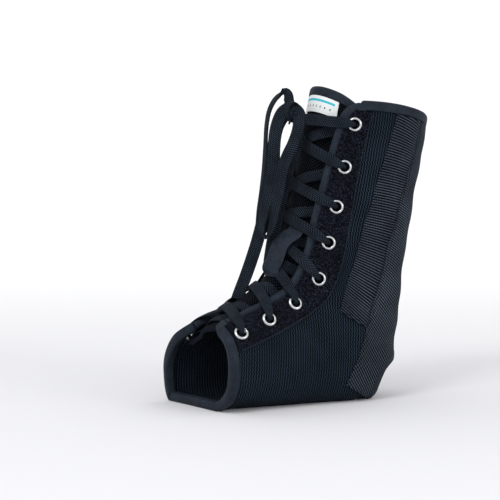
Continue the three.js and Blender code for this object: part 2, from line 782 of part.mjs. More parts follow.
// The place a distance into the cloth from an edge place, along a 3-D direction
function placeInward(place, direction, distance) {
  const ahead = surfacePoint(place.station + 0.06, place.round)
    .sub(surfacePoint(place.station - 0.06, place.round)).divideScalar(0.12);
  const across = surfacePoint(place.station, place.round + SAMPLE)
    .sub(surfacePoint(place.station, place.round - SAMPLE)).divideScalar(2 * SAMPLE);
  const aa = ahead.dot(ahead);
  const ab = ahead.dot(across);
  const bb = across.dot(across);
  const da = direction.dot(ahead) * distance;
  const db = direction.dot(across) * distance;
  const det = aa * bb - ab * ab;
  return {
    station: place.station + (da * bb - db * ab) / det,
    round: place.round + (db * aa - da * ab) / det,
  };
}

// A folded tape round an edge. Its two legs lie on the cloth's outer and inner
// face, at levels above the form's surface.
function bindingGeometry(places, width, levels, closed = false) {
  const { outerFace, innerFace } = levels;
  const over = SEAT_GAP + BINDING_TAPE;
  const n = places.length;
  const lifted = places.map(({ station, round }) => offsetPoint(station, round, 0));
  const rings = places.map((place, i) => {
    const before = closed ? lifted[(i + n - 1) % n] : lifted[Math.max(0, i - 1)];
    const after = closed ? lifted[(i + 1) % n] : lifted[Math.min(n - 1, i + 1)];
    const tangent = after.clone().sub(before).normalize();
    const out = surfaceNormal(place.station, place.round);
    const side = new THREE.Vector3().crossVectors(out, tangent).normalize();
    const leg = placeInward(place, side, width);
    const atEdge = (b, level) => lifted[i].clone().addScaledVector(side, b).addScaledVector(out, level);
    const atLeg = (level) => offsetPoint(leg.station, leg.round, level);
    return [
      atLeg(outerFace + SEAT_GAP),
      atLeg(outerFace + over),
      atEdge(-over, outerFace + over * 0.4),
      atEdge(-over, innerFace - over * 0.4),
      atLeg(innerFace - over),
      atLeg(innerFace - SEAT_GAP),
      atEdge(-FOLD_GAP, innerFace - SEAT_GAP),
      atEdge(-FOLD_GAP, outerFace + SEAT_GAP),
    ];
  });
  return ringsGeometry(rings, closed);
}

const bodyFaces = { outerFace: FACE_ALLOWANCE, innerFace: wallInner - FACE_ALLOWANCE };
const toeFaces = { outerFace: 3 * FACE_ALLOWANCE, innerFace: wallInner - TOE_SEAT_ALLOWANCE };
const heelFaces = { outerFace: 3 * FACE_ALLOWANCE, innerFace: wallInner - HEEL_SEAT_ALLOWANCE };

// The toe's or the collar's edge with its two rounded corners
function endBinding(atCollar) {
  const rows = rowStations(halfSlot(LAST)).length;
  const edgeRow = atCollar ? rows - 1 : 0;
  const inward = atCollar ? -1 : 1;
  const corner = (side) => {
    const places = [];
    for (let k = CORNER_STEPS; k > 0; k -= 1) places.push(gridPlace(edgeRow + inward * k, 0, side));
    return places;
  };
  const along = wrapColumns(0).map(({ column, side }) => gridPlace(edgeRow, column, side));
  const places = [...corner(1), ...along, ...corner(-1).reverse()];
  if (atCollar) places.reverse();
  if (atCollar) return bindingGeometry(places, COLLAR_BINDING_WIDTH, bodyFaces);
  return bindingGeometry(places, TOE_BINDING_WIDTH, toeFaces);
}

// The tape along one slot edge, between the ends of the other two tapes
function slotBinding(side) {
  const rows = rowStations(halfSlot(LAST)).length;
  const places = [];
  for (let row = CORNER_STEPS; row < rows - CORNER_STEPS; row += 1) places.push(gridPlace(row, 0, side));
  const first = places[0];
  const last = places[places.length - 1];
  first.station += TAPE_END_GAP / stationLength(0.2, first.round);
  last.station -= TAPE_END_GAP / stationLength(LAST - 0.2, last.round);
  if (side > 0) places.reverse();
  return bindingGeometry(places, SLOT_BINDING_WIDTH, bodyFaces);
}

// The edge of the heel opening, found on rays from its middle on the unrolled form
function heelPlaces(count) {
  const outline = heelOutline(0);
  const middle = 4.95;
  const places = [];
  for (let k = 0; k < count; k += 1) {
    const turn = 2 * Math.PI * k / count;
    const along = -Math.cos(turn) * 2.2;
    const across = Math.sin(turn) * 70;
    let low = 0;
    let high = 1;
    const placeAt = (reach) => {
      const station = middle + along * reach;
      const side = across >= 0 ? 1 : -1;
      return { station, round: side * (halfGirth(station, side) - Math.abs(across) * reach) };
    };
    for (let pass = 0; pass < 26; pass += 1) {
      const reach = (low + high) / 2;
      const { station, round } = placeAt(reach);
      const point = surfacePoint(station, round);
      if (insideOutline(outline, point.y, point.z)) low = reach;
      else high = reach;
    }
    places.push(placeAt(low));
  }
  return places;
}

function heelBinding() {
  return bindingGeometry(heelPlaces(24), HEEL_BINDING_WIDTH, heelFaces, true);
}

const tongueShallow = -(BODY_WALL + SEAT_GAP + BINDING_TAPE);
const tongueDeep = tongueShallow - TONGUE_SINK;

// The tongue lies deeper under the facings than across the open slot, and dips
// under the lace's bar at its toe end
function tongueOuter(station, round) {
  const share = Math.abs(round) / halfSlot(station);
  const dip = TONGUE_TOE_DIP * (1 - smooth((station - 0.9) / 0.6));
  return lerp(tongueShallow, tongueDeep, smooth((share - 0.4) / 0.4)) - dip;
}

function tongueReach(station) {
  return halfSlot(station) + TONGUE_OVERLAP;
}

// The station of the tongue's top edge, highest at the middle
function tongueTop(share, drop = 0) {
  const rise = TONGUE_RISE * (1 - 1.5 * share * share) - drop;
  return LAST + rise / stationLength(LAST - 0.2, 0);
}

const TONGUE_TOE_STATION = 0.35;

const TONGUE_ROWS = 14;
const TONGUE_COLUMNS = 8;

function tonguePlace(rowShare, share) {
  const station = lerp(TONGUE_TOE_STATION, tongueTop(share), rowShare);
  return { station, round: share * tongueReach(Math.min(station, LAST)) };
}

function tongueLevel({ station, round }) {
  return tongueOuter(Math.min(station, LAST), round);
}

function tongueWall() {
  const lines = [];
  for (let i = 0; i <= TONGUE_ROWS; i += 1) {
    const line = [];
    for (let j = 0; j <= TONGUE_COLUMNS; j += 1) {
      line.push(tonguePlace(i / TONGUE_ROWS, 2 * j / TONGUE_COLUMNS - 1));
    }
    lines.push(line);
  }
  return wallGeometry(lines, (spot) => tongueLevel(spot) - TONGUE_THICKNESS, tongueLevel);
}

// Tape folded over the tongue's top edge
function tongueBinding() {
  const over = SEAT_GAP + BINDING_TAPE;
  const rings = [];
  for (let k = 0; k <= TONGUE_COLUMNS; k += 1) {
    const share = 2 * k / TONGUE_COLUMNS - 1;
    const edge = tonguePlace(1, share);
    const leg = { ...edge, station: tongueTop(share, TONGUE_BINDING_WIDTH) };
    const top = { ...edge, station: tongueTop(share, -over) };
    const seat = { ...edge, station: tongueTop(share, -SEAT_GAP) };
    const outer = tongueLevel(edge);
    const inner = outer - TONGUE_THICKNESS;
    rings.push([
      [leg, outer + SEAT_GAP],
      [leg, outer + over],
      [top, outer + over * 0.4],
      [top, inner - over * 0.4],
      [leg, inner - over],
      [leg, inner - SEAT_GAP],
      [seat, inner - SEAT_GAP],
      [seat, outer + SEAT_GAP],
    ].map(([place, level]) => offsetPoint(place.station, place.round, level)));
  }
  return ringsGeometry(rings);
}

// The woven label under the tongue's top tape
function labelWall() {
  const perStation = stationLength(LAST - 0.2, 0);
  const columns = 4;
  const low = [];
  const high = [];
  for (let k = 0; k <= columns; k += 1) {
    const round = (k / columns - 0.5) * LABEL_WIDTH;
    const station = tongueTop(round / tongueReach(LAST), TONGUE_BINDING_WIDTH + SIDE_GAP);
    high.push({ station, round });
    low.push({ station: station - LABEL_HEIGHT / perStation, round });
  }
  const seat = (spot) => tongueLevel(spot) + SEAT_GAP * 2;
  return wallGeometry([low, high], seat, (spot) => seat(spot) + LABEL_THICKNESS);
}

// The lace as it is held by the eyelets

const laceOver = facingOuter + LACE_GAP + LACE_THICKNESS / 2;
const laceUnder = tongueShallow - FACE_ALLOWANCE - LACE_GAP - SEAT_GAP - LACE_THICKNESS / 2;
const barUnder = toeFaces.innerFace - SEAT_GAP - BINDING_TAPE - LACE_GAP - LACE_THICKNESS / 2;
const laceBelow = tongueShallow + SEAT_GAP + KEEPER_THICKNESS + 2 * LACE_GAP + LACE_THICKNESS / 2;
const laceOnTop = laceBelow + LACE_THICKNESS + LACE_GAP;
const flangeTop = facingOuter + EYELET_CLEARANCE + EYELET_FLANGE_HEIGHT + 0.2;

function eyeletAt(number, side) {
  const { station, setback } = EYELETS[number];
  return { station, round: side * (halfSlot(station) + setback * EYELET_SETBACK) };
}

// One point of the held lace; flat is its flat side's direction
function lacePoint(place, offset, flat, width, thickness) {
  return { point: offsetPoint(place.station, place.round, offset), flat, width, thickness };
}

function laceTowards(from, to) {
  const direction = surfacePoint(to.station, to.round).sub(surfacePoint(from.station, from.round));
  const normal = surfaceNormal(from.station, from.round);
  return direction.addScaledVector(normal, -direction.dot(normal)).normalize();
}

function shift(from, to, distance) {
  const chord = surfacePoint(from.station, from.round).distanceTo(surfacePoint(to.station, to.round));
  const share = distance / chord;
  return { station: lerp(from.station, to.station, share), round: lerp(from.round, to.round, share) };
}

// Up out of one eyelet towards a place, as far as the edge of its flange
function laceOut(eyelet, target) {
  const toward = laceTowards(eyelet, target);
  const aslant = surfaceNormal(eyelet.station, eyelet.round).sub(toward).normalize();
  const bunched = [LACE_BUNCHED_WIDTH, LACE_BUNCHED_THICKNESS];
  return [
    lacePoint(eyelet, 0, toward.clone().negate(), ...bunched),
    lacePoint(shift(eyelet, target, 0.2), flangeTop + 0.2, aslant, ...bunched),
    lacePoint(shift(eyelet, target, 3.4), flangeTop + 2, surfaceNormal(eyelet.station, eyelet.round),
      LACE_WIDTH * 0.75, LACE_THICKNESS * 1.3),
    lacePoint(shift(eyelet, target, 8), laceOver + 0.7, surfaceNormal(eyelet.station, eyelet.round),
      LACE_WIDTH, LACE_THICKNESS),
  ];
}

// From under the flap up to one eyelet, arriving from a place
function laceIn(eyelet, source, depth = laceUnder) {
  const toward = laceTowards(eyelet, source);
  const normal = surfaceNormal(eyelet.station, eyelet.round);
  return [
    lacePoint(shift(eyelet, source, 7), depth, normal, LACE_WIDTH * 0.9, LACE_THICKNESS),
    lacePoint(shift(eyelet, source, 3), depth, normal, LACE_WIDTH * 0.6, LACE_THICKNESS * 1.2),
    lacePoint(shift(eyelet, source, 0.3), laceUnder + 1.6, normal.clone().add(toward).normalize(),
      LACE_BUNCHED_WIDTH, LACE_BUNCHED_THICKNESS * 0.8),
  ];
}

function edgeCrossing(from, to, side) {
  let low = 0;
  let high = 1;
  for (let pass = 0; pass < 20; pass += 1) {
    const share = (low + high) / 2;
    const station = lerp(from.station, to.station, share);
    const round = lerp(from.round, to.round, share);
    const beyond = side * round > halfSlot(station);
    const startsBeyond = side * from.round > halfSlot(from.station);
    if (beyond === startsBeyond) low = share;
    else high = share;
  }
  return low;
}

// One strand from an eyelet over the slot and under the other flap
function crossing(number, side) {
  const from = eyeletAt(number, side);
  const to = eyeletAt(number + 1, -side);
  const middle = side > 0 ? laceOnTop : laceBelow;
  const at = (share) => ({
    station: lerp(from.station, to.station, share),
    round: lerp(from.round, to.round, share),
  });
  const run = (share, offset) => {
    const place = at(share);
    return lacePoint(place, offset, surfaceNormal(place.station, place.round), LACE_WIDTH, LACE_THICKNESS);
  };
  const first = edgeCrossing(from, to, side);
  const last = edgeCrossing(from, to, -side);
  return [
    ...laceOut(from, to),
    run(first, laceOver + 0.7),
    run(lerp(first, 0.5, 0.6), middle + 0.5),
    run(0.5, middle),
    run(lerp(0.5, last, 0.5), lerp(middle, laceBelow, 0.6)),
    run(lerp(0.5, last, 0.8), laceUnder + 0.1),
    run(last, laceUnder),
    ...laceIn(to, from),
  ];
}

function laceHalf(startSide) {
  const strand = [];
  let side = startSide;
  for (let i = 0; i < EYELETS.length - 1; i += 1) {
    strand.push(...crossing(i, side));
    side = -side;
  }
  const top = eyeletAt(EYELETS.length - 1, side);
  const knotRound = side * KNOT_SIZE[0] * 0.9;
  const nearKnot = { station: LAST - 0.28 - 0.05 * side, round: knotRound };
  const run = (share, offset) => {
    const station = lerp(top.station, nearKnot.station, share);
    const place = { station, round: lerp(top.round, nearKnot.round, share) };
    return lacePoint(place, offset, surfaceNormal(place.station, place.round), LACE_WIDTH, LACE_THICKNESS);
  };
  strand.push(...laceOut(top, nearKnot), run(0.4, laceOver), run(0.7, laceOver + 1), run(1, laceOver + 4.5));
  const [knotX, knotY, knotZ] = KNOT_CENTRE;
  const tie = side > 0
    ? new THREE.Vector3(knotX + KNOT_SIZE[0] / 2 + 2 * LACE_GAP, knotY + 1, knotZ - 2)
    : new THREE.Vector3(knotX - KNOT_SIZE[0] / 2 - 2 * LACE_GAP, knotY + 1.5, knotZ - KNOT_SIZE[2] * 0.4);
  strand.push({ point: tie, flat: new THREE.Vector3(0, -1, 0), width: LACE_WIDTH * 0.6, thickness: LACE_THICKNESS });
  return strand;
}

// The bar's middle stands a little further from the toe edge than its ends
const BAR_RISE = 0.2;

// The short bar under both flaps between the two lowest eyelets
function laceBar() {
  const near = eyeletAt(0, 1);
  const far = eyeletAt(0, -1);
  const overTongue = (station, share) => (
    tongueOuter(station, lerp(near.round, far.round, share)) + 3 * LACE_GAP + LACE_THICKNESS / 2);
  const run = (share, offset) => {
    const station = near.station + BAR_RISE * Math.sin(Math.PI * share);
    const place = { station, round: lerp(near.round, far.round, share) };
    return lacePoint(place, offset, surfaceNormal(place.station, place.round), LACE_WIDTH, LACE_THICKNESS);
  };
  return [
    ...laceIn(near, far, barUnder).reverse(),
    ...[0.24, 0.32, 0.4, 0.5, 0.6, 0.68, 0.76].map((share) => run(share, overTongue(near.station, share))),
    ...laceIn(far, near, barUnder),
  ];
}

function laceSweep(strand, sides) {
  const points = strand.map(({ point }) => point);
  const frames = ribbonFrames(points, (i) => strand[i].flat);
  for (let i = 1; i < frames.length; i += 1) {
    if (frames[i].side.dot(frames[i - 1].side) < 0) {
      frames[i].side.negate();
      frames[i].out.negate();
    }
  }
  return sweepGeometry(frames, (i) => ribbonProfile(strand[i].width, strand[i].thickness, sides));
}

function heldLace() {
  const strand = [...laceHalf(1).reverse(), ...laceBar(), ...laceHalf(-1)];
  return laceSweep(strand, 4);
}

// A free stretch of lace along its route
function cordGeometry(route) {
  const points = route.map(([x, y, z]) => new THREE.Vector3(x, y, z));
  const headings = route.map(([, , , heading]) => THREE.MathUtils.degToRad(heading));
  const curve = new THREE.CatmullRomCurve3(points, false, "centripetal");
  const steps = Math.round(curve.getLength() / CORD_STEP);
  const strand = [];
  for (let k = 0; k <= steps; k += 1) {
    const share = k / steps;
    const place = curve.getUtoTmapping(share) * (route.length - 1);
    const low = Math.min(route.length - 2, Math.floor(place));
    const heading = lerp(headings[low], headings[low + 1], place - low);
    const width = new THREE.Vector3(Math.cos(heading), Math.sin(heading), 0);
    const tangent = curve.getTangentAt(share);
    const flat = new THREE.Vector3().crossVectors(width, tangent).normalize();
    strand.push({ point: curve.getPointAt(share), flat, width: LACE_WIDTH, thickness: LACE_THICKNESS });
  }
  return laceSweep(strand, 8);
}

function knotGeometry() {
  const geometry = new THREE.SphereGeometry(0.5, 10, 7);
  geometry.scale(...KNOT_SIZE);
  geometry.translate(...KNOT_CENTRE);
  return geometry;
}

// The satin keeper on the tongue: sewn down at both ends, standing off between
const KEEPER_ROUTE = [
  { station: 7.8, round: 15, lift: 1 },
  { station: 7.5, round: 14.5, lift: 2.4 },
  { station: 7.2, round: 13.5, lift: 3.4 },
  { station: 6.85, round: 11.5, lift: 6 },
  { station: 6.2, round: 9.5, lift: 7.4 },
  { station: 5.4, round: 9, lift: 7.3 },
  { station: 4.6, round: 9, lift: 6.9 },
  { station: 3.9, round: 8.5, lift: 7.2 },
  { station: 3.48, round: 8, lift: 7.3 },
  { station: 3.36, round: 8, lift: 5.9 },
  { station: 3.28, round: 8, lift: 2.8 },
  { station: 3.25, round: 8, lift: 0.4 },
];

function keeperGeometry() {
  const strand = KEEPER_ROUTE.map(({ station, round, lift }) => {
    const place = { station, round };
    const offset = tongueOuter(station, round) + SEAT_GAP + KEEPER_THICKNESS / 2 + lift;
    return lacePoint(place, offset, surfaceNormal(station, round), KEEPER_WIDTH, KEEPER_THICKNESS);
  });
  return laceSweep(strand, 4);
}

// Materials
const knit = new THREE.MeshStandardMaterial({ color: 0x1d2026, roughness: 0.92 });
const facingCloth = new THREE.MeshStandardMaterial({ color: 0x17191e, roughness: 0.95 });
const webbing = new THREE.MeshStandardMaterial({ color: 0x22252b, roughness: 0.85 });
const elastic = new THREE.MeshStandardMaterial({ color: 0x1b1e24, roughness: 0.88 });
const tape = new THREE.MeshStandardMaterial({ color: 0x2b2e34, roughness: 0.7 });
const tongueKnit = new THREE.MeshStandardMaterial({ color: 0x1f2229, roughness: 0.9 });
const laceWeave = new THREE.MeshStandardMaterial({ color: 0x1c1f26, roughness: 0.86 });
const satin = new THREE.MeshStandardMaterial({ color: 0x30343b, roughness: 0.55 });
const labelCloth = new THREE.MeshStandardMaterial({ color: 0xe6e9ea, roughness: 0.8 });
const steel = new THREE.MeshStandardMaterial({ color: 0xc9cbcc, roughness: 0.3, metalness: 1 });

const brace = new THREE.Group();

function place(name, geometry, material) {
  const mesh = new THREE.Mesh(geometry, material);
  mesh.name = name;
  brace.add(mesh);
}

const eyelets = eyeletPlaces();
const sideName = (side) => (side > 0 ? "inner" : "outer");

place("body", cut(bodyWall(), [heelCutter(HEEL_HOLE_ALLOWANCE), ...eyelets.map(eyeletCutter)]), knit);
place("rear_panel", rearPanel(), elastic);
[1, -1].forEach((side) => {
  const holes = eyelets.filter((eyelet) => eyelet.side === side).map(eyeletCutter);
  place(`facing_${sideName(side)}`, cut(facingWall(side), holes), facingCloth);
  place(`stay_pocket_${sideName(side)}`, stayPocket(side), webbing);
  place(`slot_binding_${sideName(side)}`, slotBinding(side), tape);
});
place("collar_binding", endBinding(true), tape);
place("toe_binding", endBinding(false), tape);
place("heel_binding", heelBinding(), tape);
place("tongue", tongueWall(), tongueKnit);
place("tongue_binding", tongueBinding(), tape);
place("tongue_label", labelWall(), labelCloth);
place("tongue_keeper", keeperGeometry(), satin);
eyelets.forEach((eyelet) => {
  place(`eyelet_${sideName(eyelet.side)}_${eyelet.number}`, eyeletGeometry(eyelet), steel);
});
place("lace_held", heldLace(), laceWeave);
place("bow_knot", knotGeometry(), laceWeave);
place("bow_loop_outer", cordGeometry(OUTER_LOOP), laceWeave);
place("bow_loop_inner", cordGeometry(INNER_LOOP), laceWeave);
place("lace_end_long", cordGeometry(LONG_END), laceWeave);
place("lace_end_short", cordGeometry(SHORT_END), laceWeave);

export default brace;
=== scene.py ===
import logging
import math
from dataclasses import dataclass, field
from enum import Enum
from typing import Callable, Sequence

import bpy
import numpy as np
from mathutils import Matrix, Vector


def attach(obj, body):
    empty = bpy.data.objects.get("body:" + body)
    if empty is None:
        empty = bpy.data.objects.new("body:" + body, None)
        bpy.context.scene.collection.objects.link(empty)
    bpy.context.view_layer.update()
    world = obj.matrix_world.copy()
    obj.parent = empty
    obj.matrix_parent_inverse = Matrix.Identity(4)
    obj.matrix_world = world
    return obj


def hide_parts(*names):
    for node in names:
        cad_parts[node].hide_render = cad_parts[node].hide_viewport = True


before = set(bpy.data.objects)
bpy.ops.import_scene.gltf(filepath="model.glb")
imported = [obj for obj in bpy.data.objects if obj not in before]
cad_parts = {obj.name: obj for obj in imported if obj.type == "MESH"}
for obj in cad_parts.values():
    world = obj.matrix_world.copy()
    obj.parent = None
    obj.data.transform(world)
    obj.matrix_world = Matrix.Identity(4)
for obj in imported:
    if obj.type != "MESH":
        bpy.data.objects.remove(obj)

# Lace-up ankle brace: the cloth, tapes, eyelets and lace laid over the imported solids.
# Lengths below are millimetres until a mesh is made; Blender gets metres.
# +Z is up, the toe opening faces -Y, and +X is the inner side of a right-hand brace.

LOG = logging.getLogger("ankle_brace")
MM = 0.001
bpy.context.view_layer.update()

Array = np.ndarray
Colour = tuple[float, float, float, float]
Place = tuple[float, float]


# ---------------------------------------------------------------- sizes

BRACE_LENGTH = 180.0
BRACE_HEIGHT = 216.0
BRACE_WIDTH = 86.0
BODY_WALL = 2.2
OVERLAY = 1.2
SEAT_GAP = 0.3
TAPE = 1.0
SLOT_WIDTH = 52.0
FACING_WIDTH = 28.0
EYELET_SETBACK = 12.5
EYELET_HOLE = 3.2
EYELET_FLANGE = 5.0
SLOT_TAPE = 4.0
COLLAR_TAPE = 5.5
END_TAPE = 5.0
COLLAR_CORNER = 12.0
TOE_CORNER = 9.0
COLLAR_RISE = 5.0
TONGUE_THICKNESS = 3.2
TONGUE_OVERLAP = 13.0
TONGUE_RISE = 9.0
TONGUE_PUFF = 1.9
LABEL_HEIGHT = 12.0
LACE_WIDTH = 9.0
LACE_THICKNESS = 1.4


class Side(Enum):
    """The two sides of the brace, with the sign of X there."""

    INNER = 1
    OUTER = -1

    @property
    def label(self) -> str:
        """The side's name as the solids' names give it."""
        return self.name.lower()


# ---------------------------------------------------------------- small maths

def smooth(share: Array | float) -> Array:
    """Smooth step: 3s^2 - 2s^3 of the share clipped to 0..1.

    Args:
        share: Any number or array.

    Returns:
        The eased share.
    """
    s = np.clip(share, 0.0, 1.0)
    return s * s * (3.0 - 2.0 * s)


def lerp(a: Array | float, b: Array | float, share: Array | float) -> Array:
    """Straight blend a + (b - a) * share."""
    return a + (b - a) * share


def signed_power(value: Array, exponent: Array | float) -> Array:
    """sign(x) * |x|^exponent, which squares off a circle into a superellipse."""
    return np.sign(value) * np.abs(value) ** exponent


def unit(vectors: Array) -> Array:
    """Vectors scaled to length 1."""
    return vectors / np.maximum(np.linalg.norm(vectors, axis=-1, keepdims=True), 1e-9)


def smooth_run(values: Array, step: float) -> Array:
    """A smooth curve through control rows, cut to even steps.

    Each segment is a cubic Hermite on knots spaced by the square root of the chord
    (centripetal), with tangents from the neighbouring chords; the dense result is then
    read off at equal running lengths.

    Args:
        values: Rows of x, y, z and any further numbers that change along the curve.
        step: Wanted length of a step in millimetres.

    Returns:
        Rows like values, evenly spaced.
    """
    chord = np.linalg.norm(np.diff(values[:, :3], axis=0), axis=1)
    knot = np.concatenate([[0.0], np.cumsum(np.sqrt(np.maximum(chord, 1e-6)))])
    slope = np.diff(values, axis=0) / np.diff(knot)[:, None]
    before, after = np.diff(knot)[:-1, None], np.diff(knot)[1:, None]
    inner = (slope[:-1] * after + slope[1:] * before) / (before + after)
    tangent = np.concatenate([slope[:1], inner, slope[-1:]])
    dense = np.linspace(0.0, knot[-1], len(values) * 24)
    i = np.clip(np.searchsorted(knot, dense, side="right") - 1, 0, len(values) - 2)
    width = (knot[i + 1] - knot[i])[:, None]
    s = ((dense - knot[i])[:, None]) / width
    curve = ((2 * s**3 - 3 * s**2 + 1) * values[i] + (s**3 - 2 * s**2 + s) * width * tangent[i]
             + (3 * s**2 - 2 * s**3) * values[i + 1] + (s**3 - s**2) * width * tangent[i + 1])
    run = running_length(curve[:, :3])
    return read_at(np.linspace(0.0, run[-1], max(3, int(round(run[-1] / step)) + 1)), run, curve)


def running_length(points: Array) -> Array:
    """Length along a line of points, zero at its first."""
    return np.concatenate([[0.0], np.cumsum(np.linalg.norm(np.diff(points, axis=0), axis=1))])


def read_at(at: Array, run: Array, table: Array) -> Array:
    """Rows of a table read off at running lengths, straight between its own rows."""
    return np.stack([np.interp(at, run, column) for column in table.T], axis=-1)


def tangents(points: Array, closed: bool = False) -> Array:
    """Unit directions along a line of points, which may close on itself."""
    step = np.roll(points, -1, axis=0) - np.roll(points, 1, axis=0) if closed else np.gradient(points, axis=0)
    return unit(step)


def outline_distance(spots: Array, outline: Array) -> Array:
    """Signed distance to a closed outline in a plane, negative inside.

    The least distance to any edge, with its sign from the count of edges crossed by a
    ray to one side.

    Args:
        spots: (..., 2) points.
        outline: (k, 2) corners, closed by itself.

    Returns:
        Distances shaped as the spots.
    """
    best = np.full(spots.shape[:-1], np.inf)
    inside = np.zeros(spots.shape[:-1], dtype=bool)
    for a, b in zip(outline, np.roll(outline, -1, axis=0)):
        edge = b - a
        share = np.clip(((spots - a) @ edge) / max(edge @ edge, 1e-9), 0.0, 1.0)
        best = np.minimum(best, np.linalg.norm(spots - a - share[..., None] * edge, axis=-1))
        if a[1] != b[1]:
            crosses = (a[1] > spots[..., 1]) != (b[1] > spots[..., 1])
            reach = edge[0] * (spots[..., 1] - a[1]) / (b[1] - a[1]) + a[0]
            inside ^= crosses & (spots[..., 0] < reach)
    return np.where(inside, -best, best)


# ---------------------------------------------------------------- meshes

def add_object(name: str, data: bpy.types.ID) -> bpy.types.Object:
    """A new object of the scene that holds the data.

    Args:
        name: The object's name.
        data: Its mesh, camera or light.

    Returns:
        The object.
    """
    obj = bpy.data.objects.new(name, data)
    bpy.context.collection.objects.link(obj)
    return obj


@dataclass
class Surface:
    """A mesh in the making.

    Attributes:
        points: (n, 3) millimetres.
        faces: Lists of vertex numbers.
        uv: (n, 2) pattern coordinates in millimetres, one for each point.
    """

    points: Array
    faces: list
    uv: Array

    def joined(self, other: "Surface") -> "Surface":
        """This surface and another as one mesh.

        Args:
            other: The surface to add.

        Returns:
            Both in one, as separate shells.
        """
        shift = len(self.points)
        moved = [[v + shift for v in face] for face in other.faces]
        return Surface(np.concatenate([self.points, other.points]), self.faces + moved,
                       np.concatenate([self.uv, other.uv]))

    def build(self, name: str, material: bpy.types.Material, crease: float = 50.0) -> bpy.types.Object:
        """Makes the Blender object.

        Args:
            name: The object's name.
            material: Its finish.
            crease: Edges sharper than this many degrees stay crisp.

        Returns:
            The new object, at the origin.
        """
        mesh = bpy.data.meshes.new(name)
        mesh.from_pydata((self.points * MM).tolist(), [], self.faces)
        corner = np.empty(len(mesh.loops), dtype=np.int32)
        mesh.loops.foreach_get("vertex_index", corner)
        layer = mesh.uv_layers.new(name="weave")
        layer.data.foreach_set("uv", self.uv[corner].astype(np.float32).ravel())
        mesh.polygons.foreach_set("use_smooth", np.ones(len(mesh.polygons), dtype=bool))
        mesh.set_sharp_from_angle(angle=math.radians(crease))
        mesh.materials.append(material)
        mesh.update()
        obj = add_object(f"{name}_visual", mesh)
        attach(obj, "root")
        return obj


def wall(outer: Array, inner: Array, uv: Array, keep: Array | None = None) -> Surface:
    """A closed wall between two grids of points.

    Every kept cell gives an outer and an inner face; each outer edge that no second
    kept cell shares gets a rim face down to the inner grid.

    Args:
        outer: (rows, columns, 3) points of the seen face.
        inner: The same for the back.
        uv: (rows, columns, 2) pattern coordinates.
        keep: (rows - 1, columns - 1) cells that exist, all of them by default.

    Returns:
        The wall, with its faces outwards.
    """
    rows, columns = outer.shape[:2]
    ids = np.arange(rows * columns).reshape(rows, columns)
    quads = np.stack([ids[:-1, :-1], ids[:-1, 1:], ids[1:, 1:], ids[1:, :-1]], axis=-1).reshape(-1, 4)
    if keep is not None:
        quads = quads[keep.ravel()]
    flat = outer.reshape(-1, 3)
    back = inner.reshape(-1, 3)
    face_normal = np.cross(flat[quads[:, 2]] - flat[quads[:, 0]], flat[quads[:, 3]] - flat[quads[:, 1]])
    if np.sum(face_normal * (flat - back)[quads[:, 0]]) < 0:
        quads = quads[:, ::-1]
    edges = np.concatenate([quads[:, [k, (k + 1) % 4]] for k in range(4)])
    size = rows * columns
    forward = edges[:, 0] * size + edges[:, 1]
    reverse = edges[:, 1] * size + edges[:, 0]
    a, b = edges[~np.isin(forward, reverse)].T
    faces = np.concatenate([quads, quads[:, ::-1] + size, np.stack([b, a, a + size, b + size], axis=-1)])
    used, faces = np.unique(faces, return_inverse=True)
    points = np.concatenate([flat, back])[used]
    both = np.concatenate([uv.reshape(-1, 2)] * 2)[used]
    return Surface(points, faces.reshape(-1, 4).tolist(), both)


def tube(rings: Array, uv: Array, closed: bool = False) -> Surface:
    """A solid through rings of points.

    Args:
        rings: (count, around, 3) points, each ring closed on itself.
        uv: (count, around, 2) pattern coordinates.
        closed: Whether the last ring joins the first; otherwise both ends are capped.

    Returns:
        The solid, with its faces outwards.
    """
    count, around = rings.shape[:2]
    ids = np.arange(count * around).reshape(count, around)
    after = np.roll(ids, -1, axis=0) if closed else ids[1:]
    first = ids if closed else ids[:-1]
    quads = np.stack([first, np.roll(first, -1, axis=1), np.roll(after, -1, axis=1), after], axis=-1)
    quads = quads.reshape(-1, 4)
    flat = rings.reshape(-1, 3)
    middle = np.repeat(rings.mean(axis=1), around, axis=0)
    normal = np.cross(flat[quads[:, 2]] - flat[quads[:, 0]], flat[quads[:, 3]] - flat[quads[:, 1]])
    outwards = np.sum(normal * (flat - middle)[quads[:, 0]]) >= 0
    faces = (quads if outwards else quads[:, ::-1]).tolist()
    if not closed:
        low, high = ids[0].tolist(), ids[-1].tolist()
        faces += [low[::-1], high] if outwards else [low, high[::-1]]
    return Surface(flat, faces, uv.reshape(-1, 2))


def ribbon_section(width: Array, thickness: Array, around: int, fullness: float = 0.55) -> Array:
    """Cross-sections of a flat lace or tape: superellipses of given widths.

    x = w/2 sgn(cos t)|cos t|^p and y = h/2 sgn(sin t)|sin t|^p, with p the fullness.

    Args:
        width: (n,) widths.
        thickness: (n,) thicknesses.
        around: Points round each section.
        fullness: 1 is an ellipse, less is squarer.

    Returns:
        (n, around, 2) places across and out.
    """
    turn = 2 * np.pi * (np.arange(around) + 0.5) / around
    x = signed_power(np.cos(turn), fullness)
    y = signed_power(np.sin(turn), fullness)
    shape = np.stack([x / np.abs(x).max(), y / np.abs(y).max()], axis=-1)
    return shape[None] * np.stack([width, thickness], axis=-1)[:, None] / 2.0


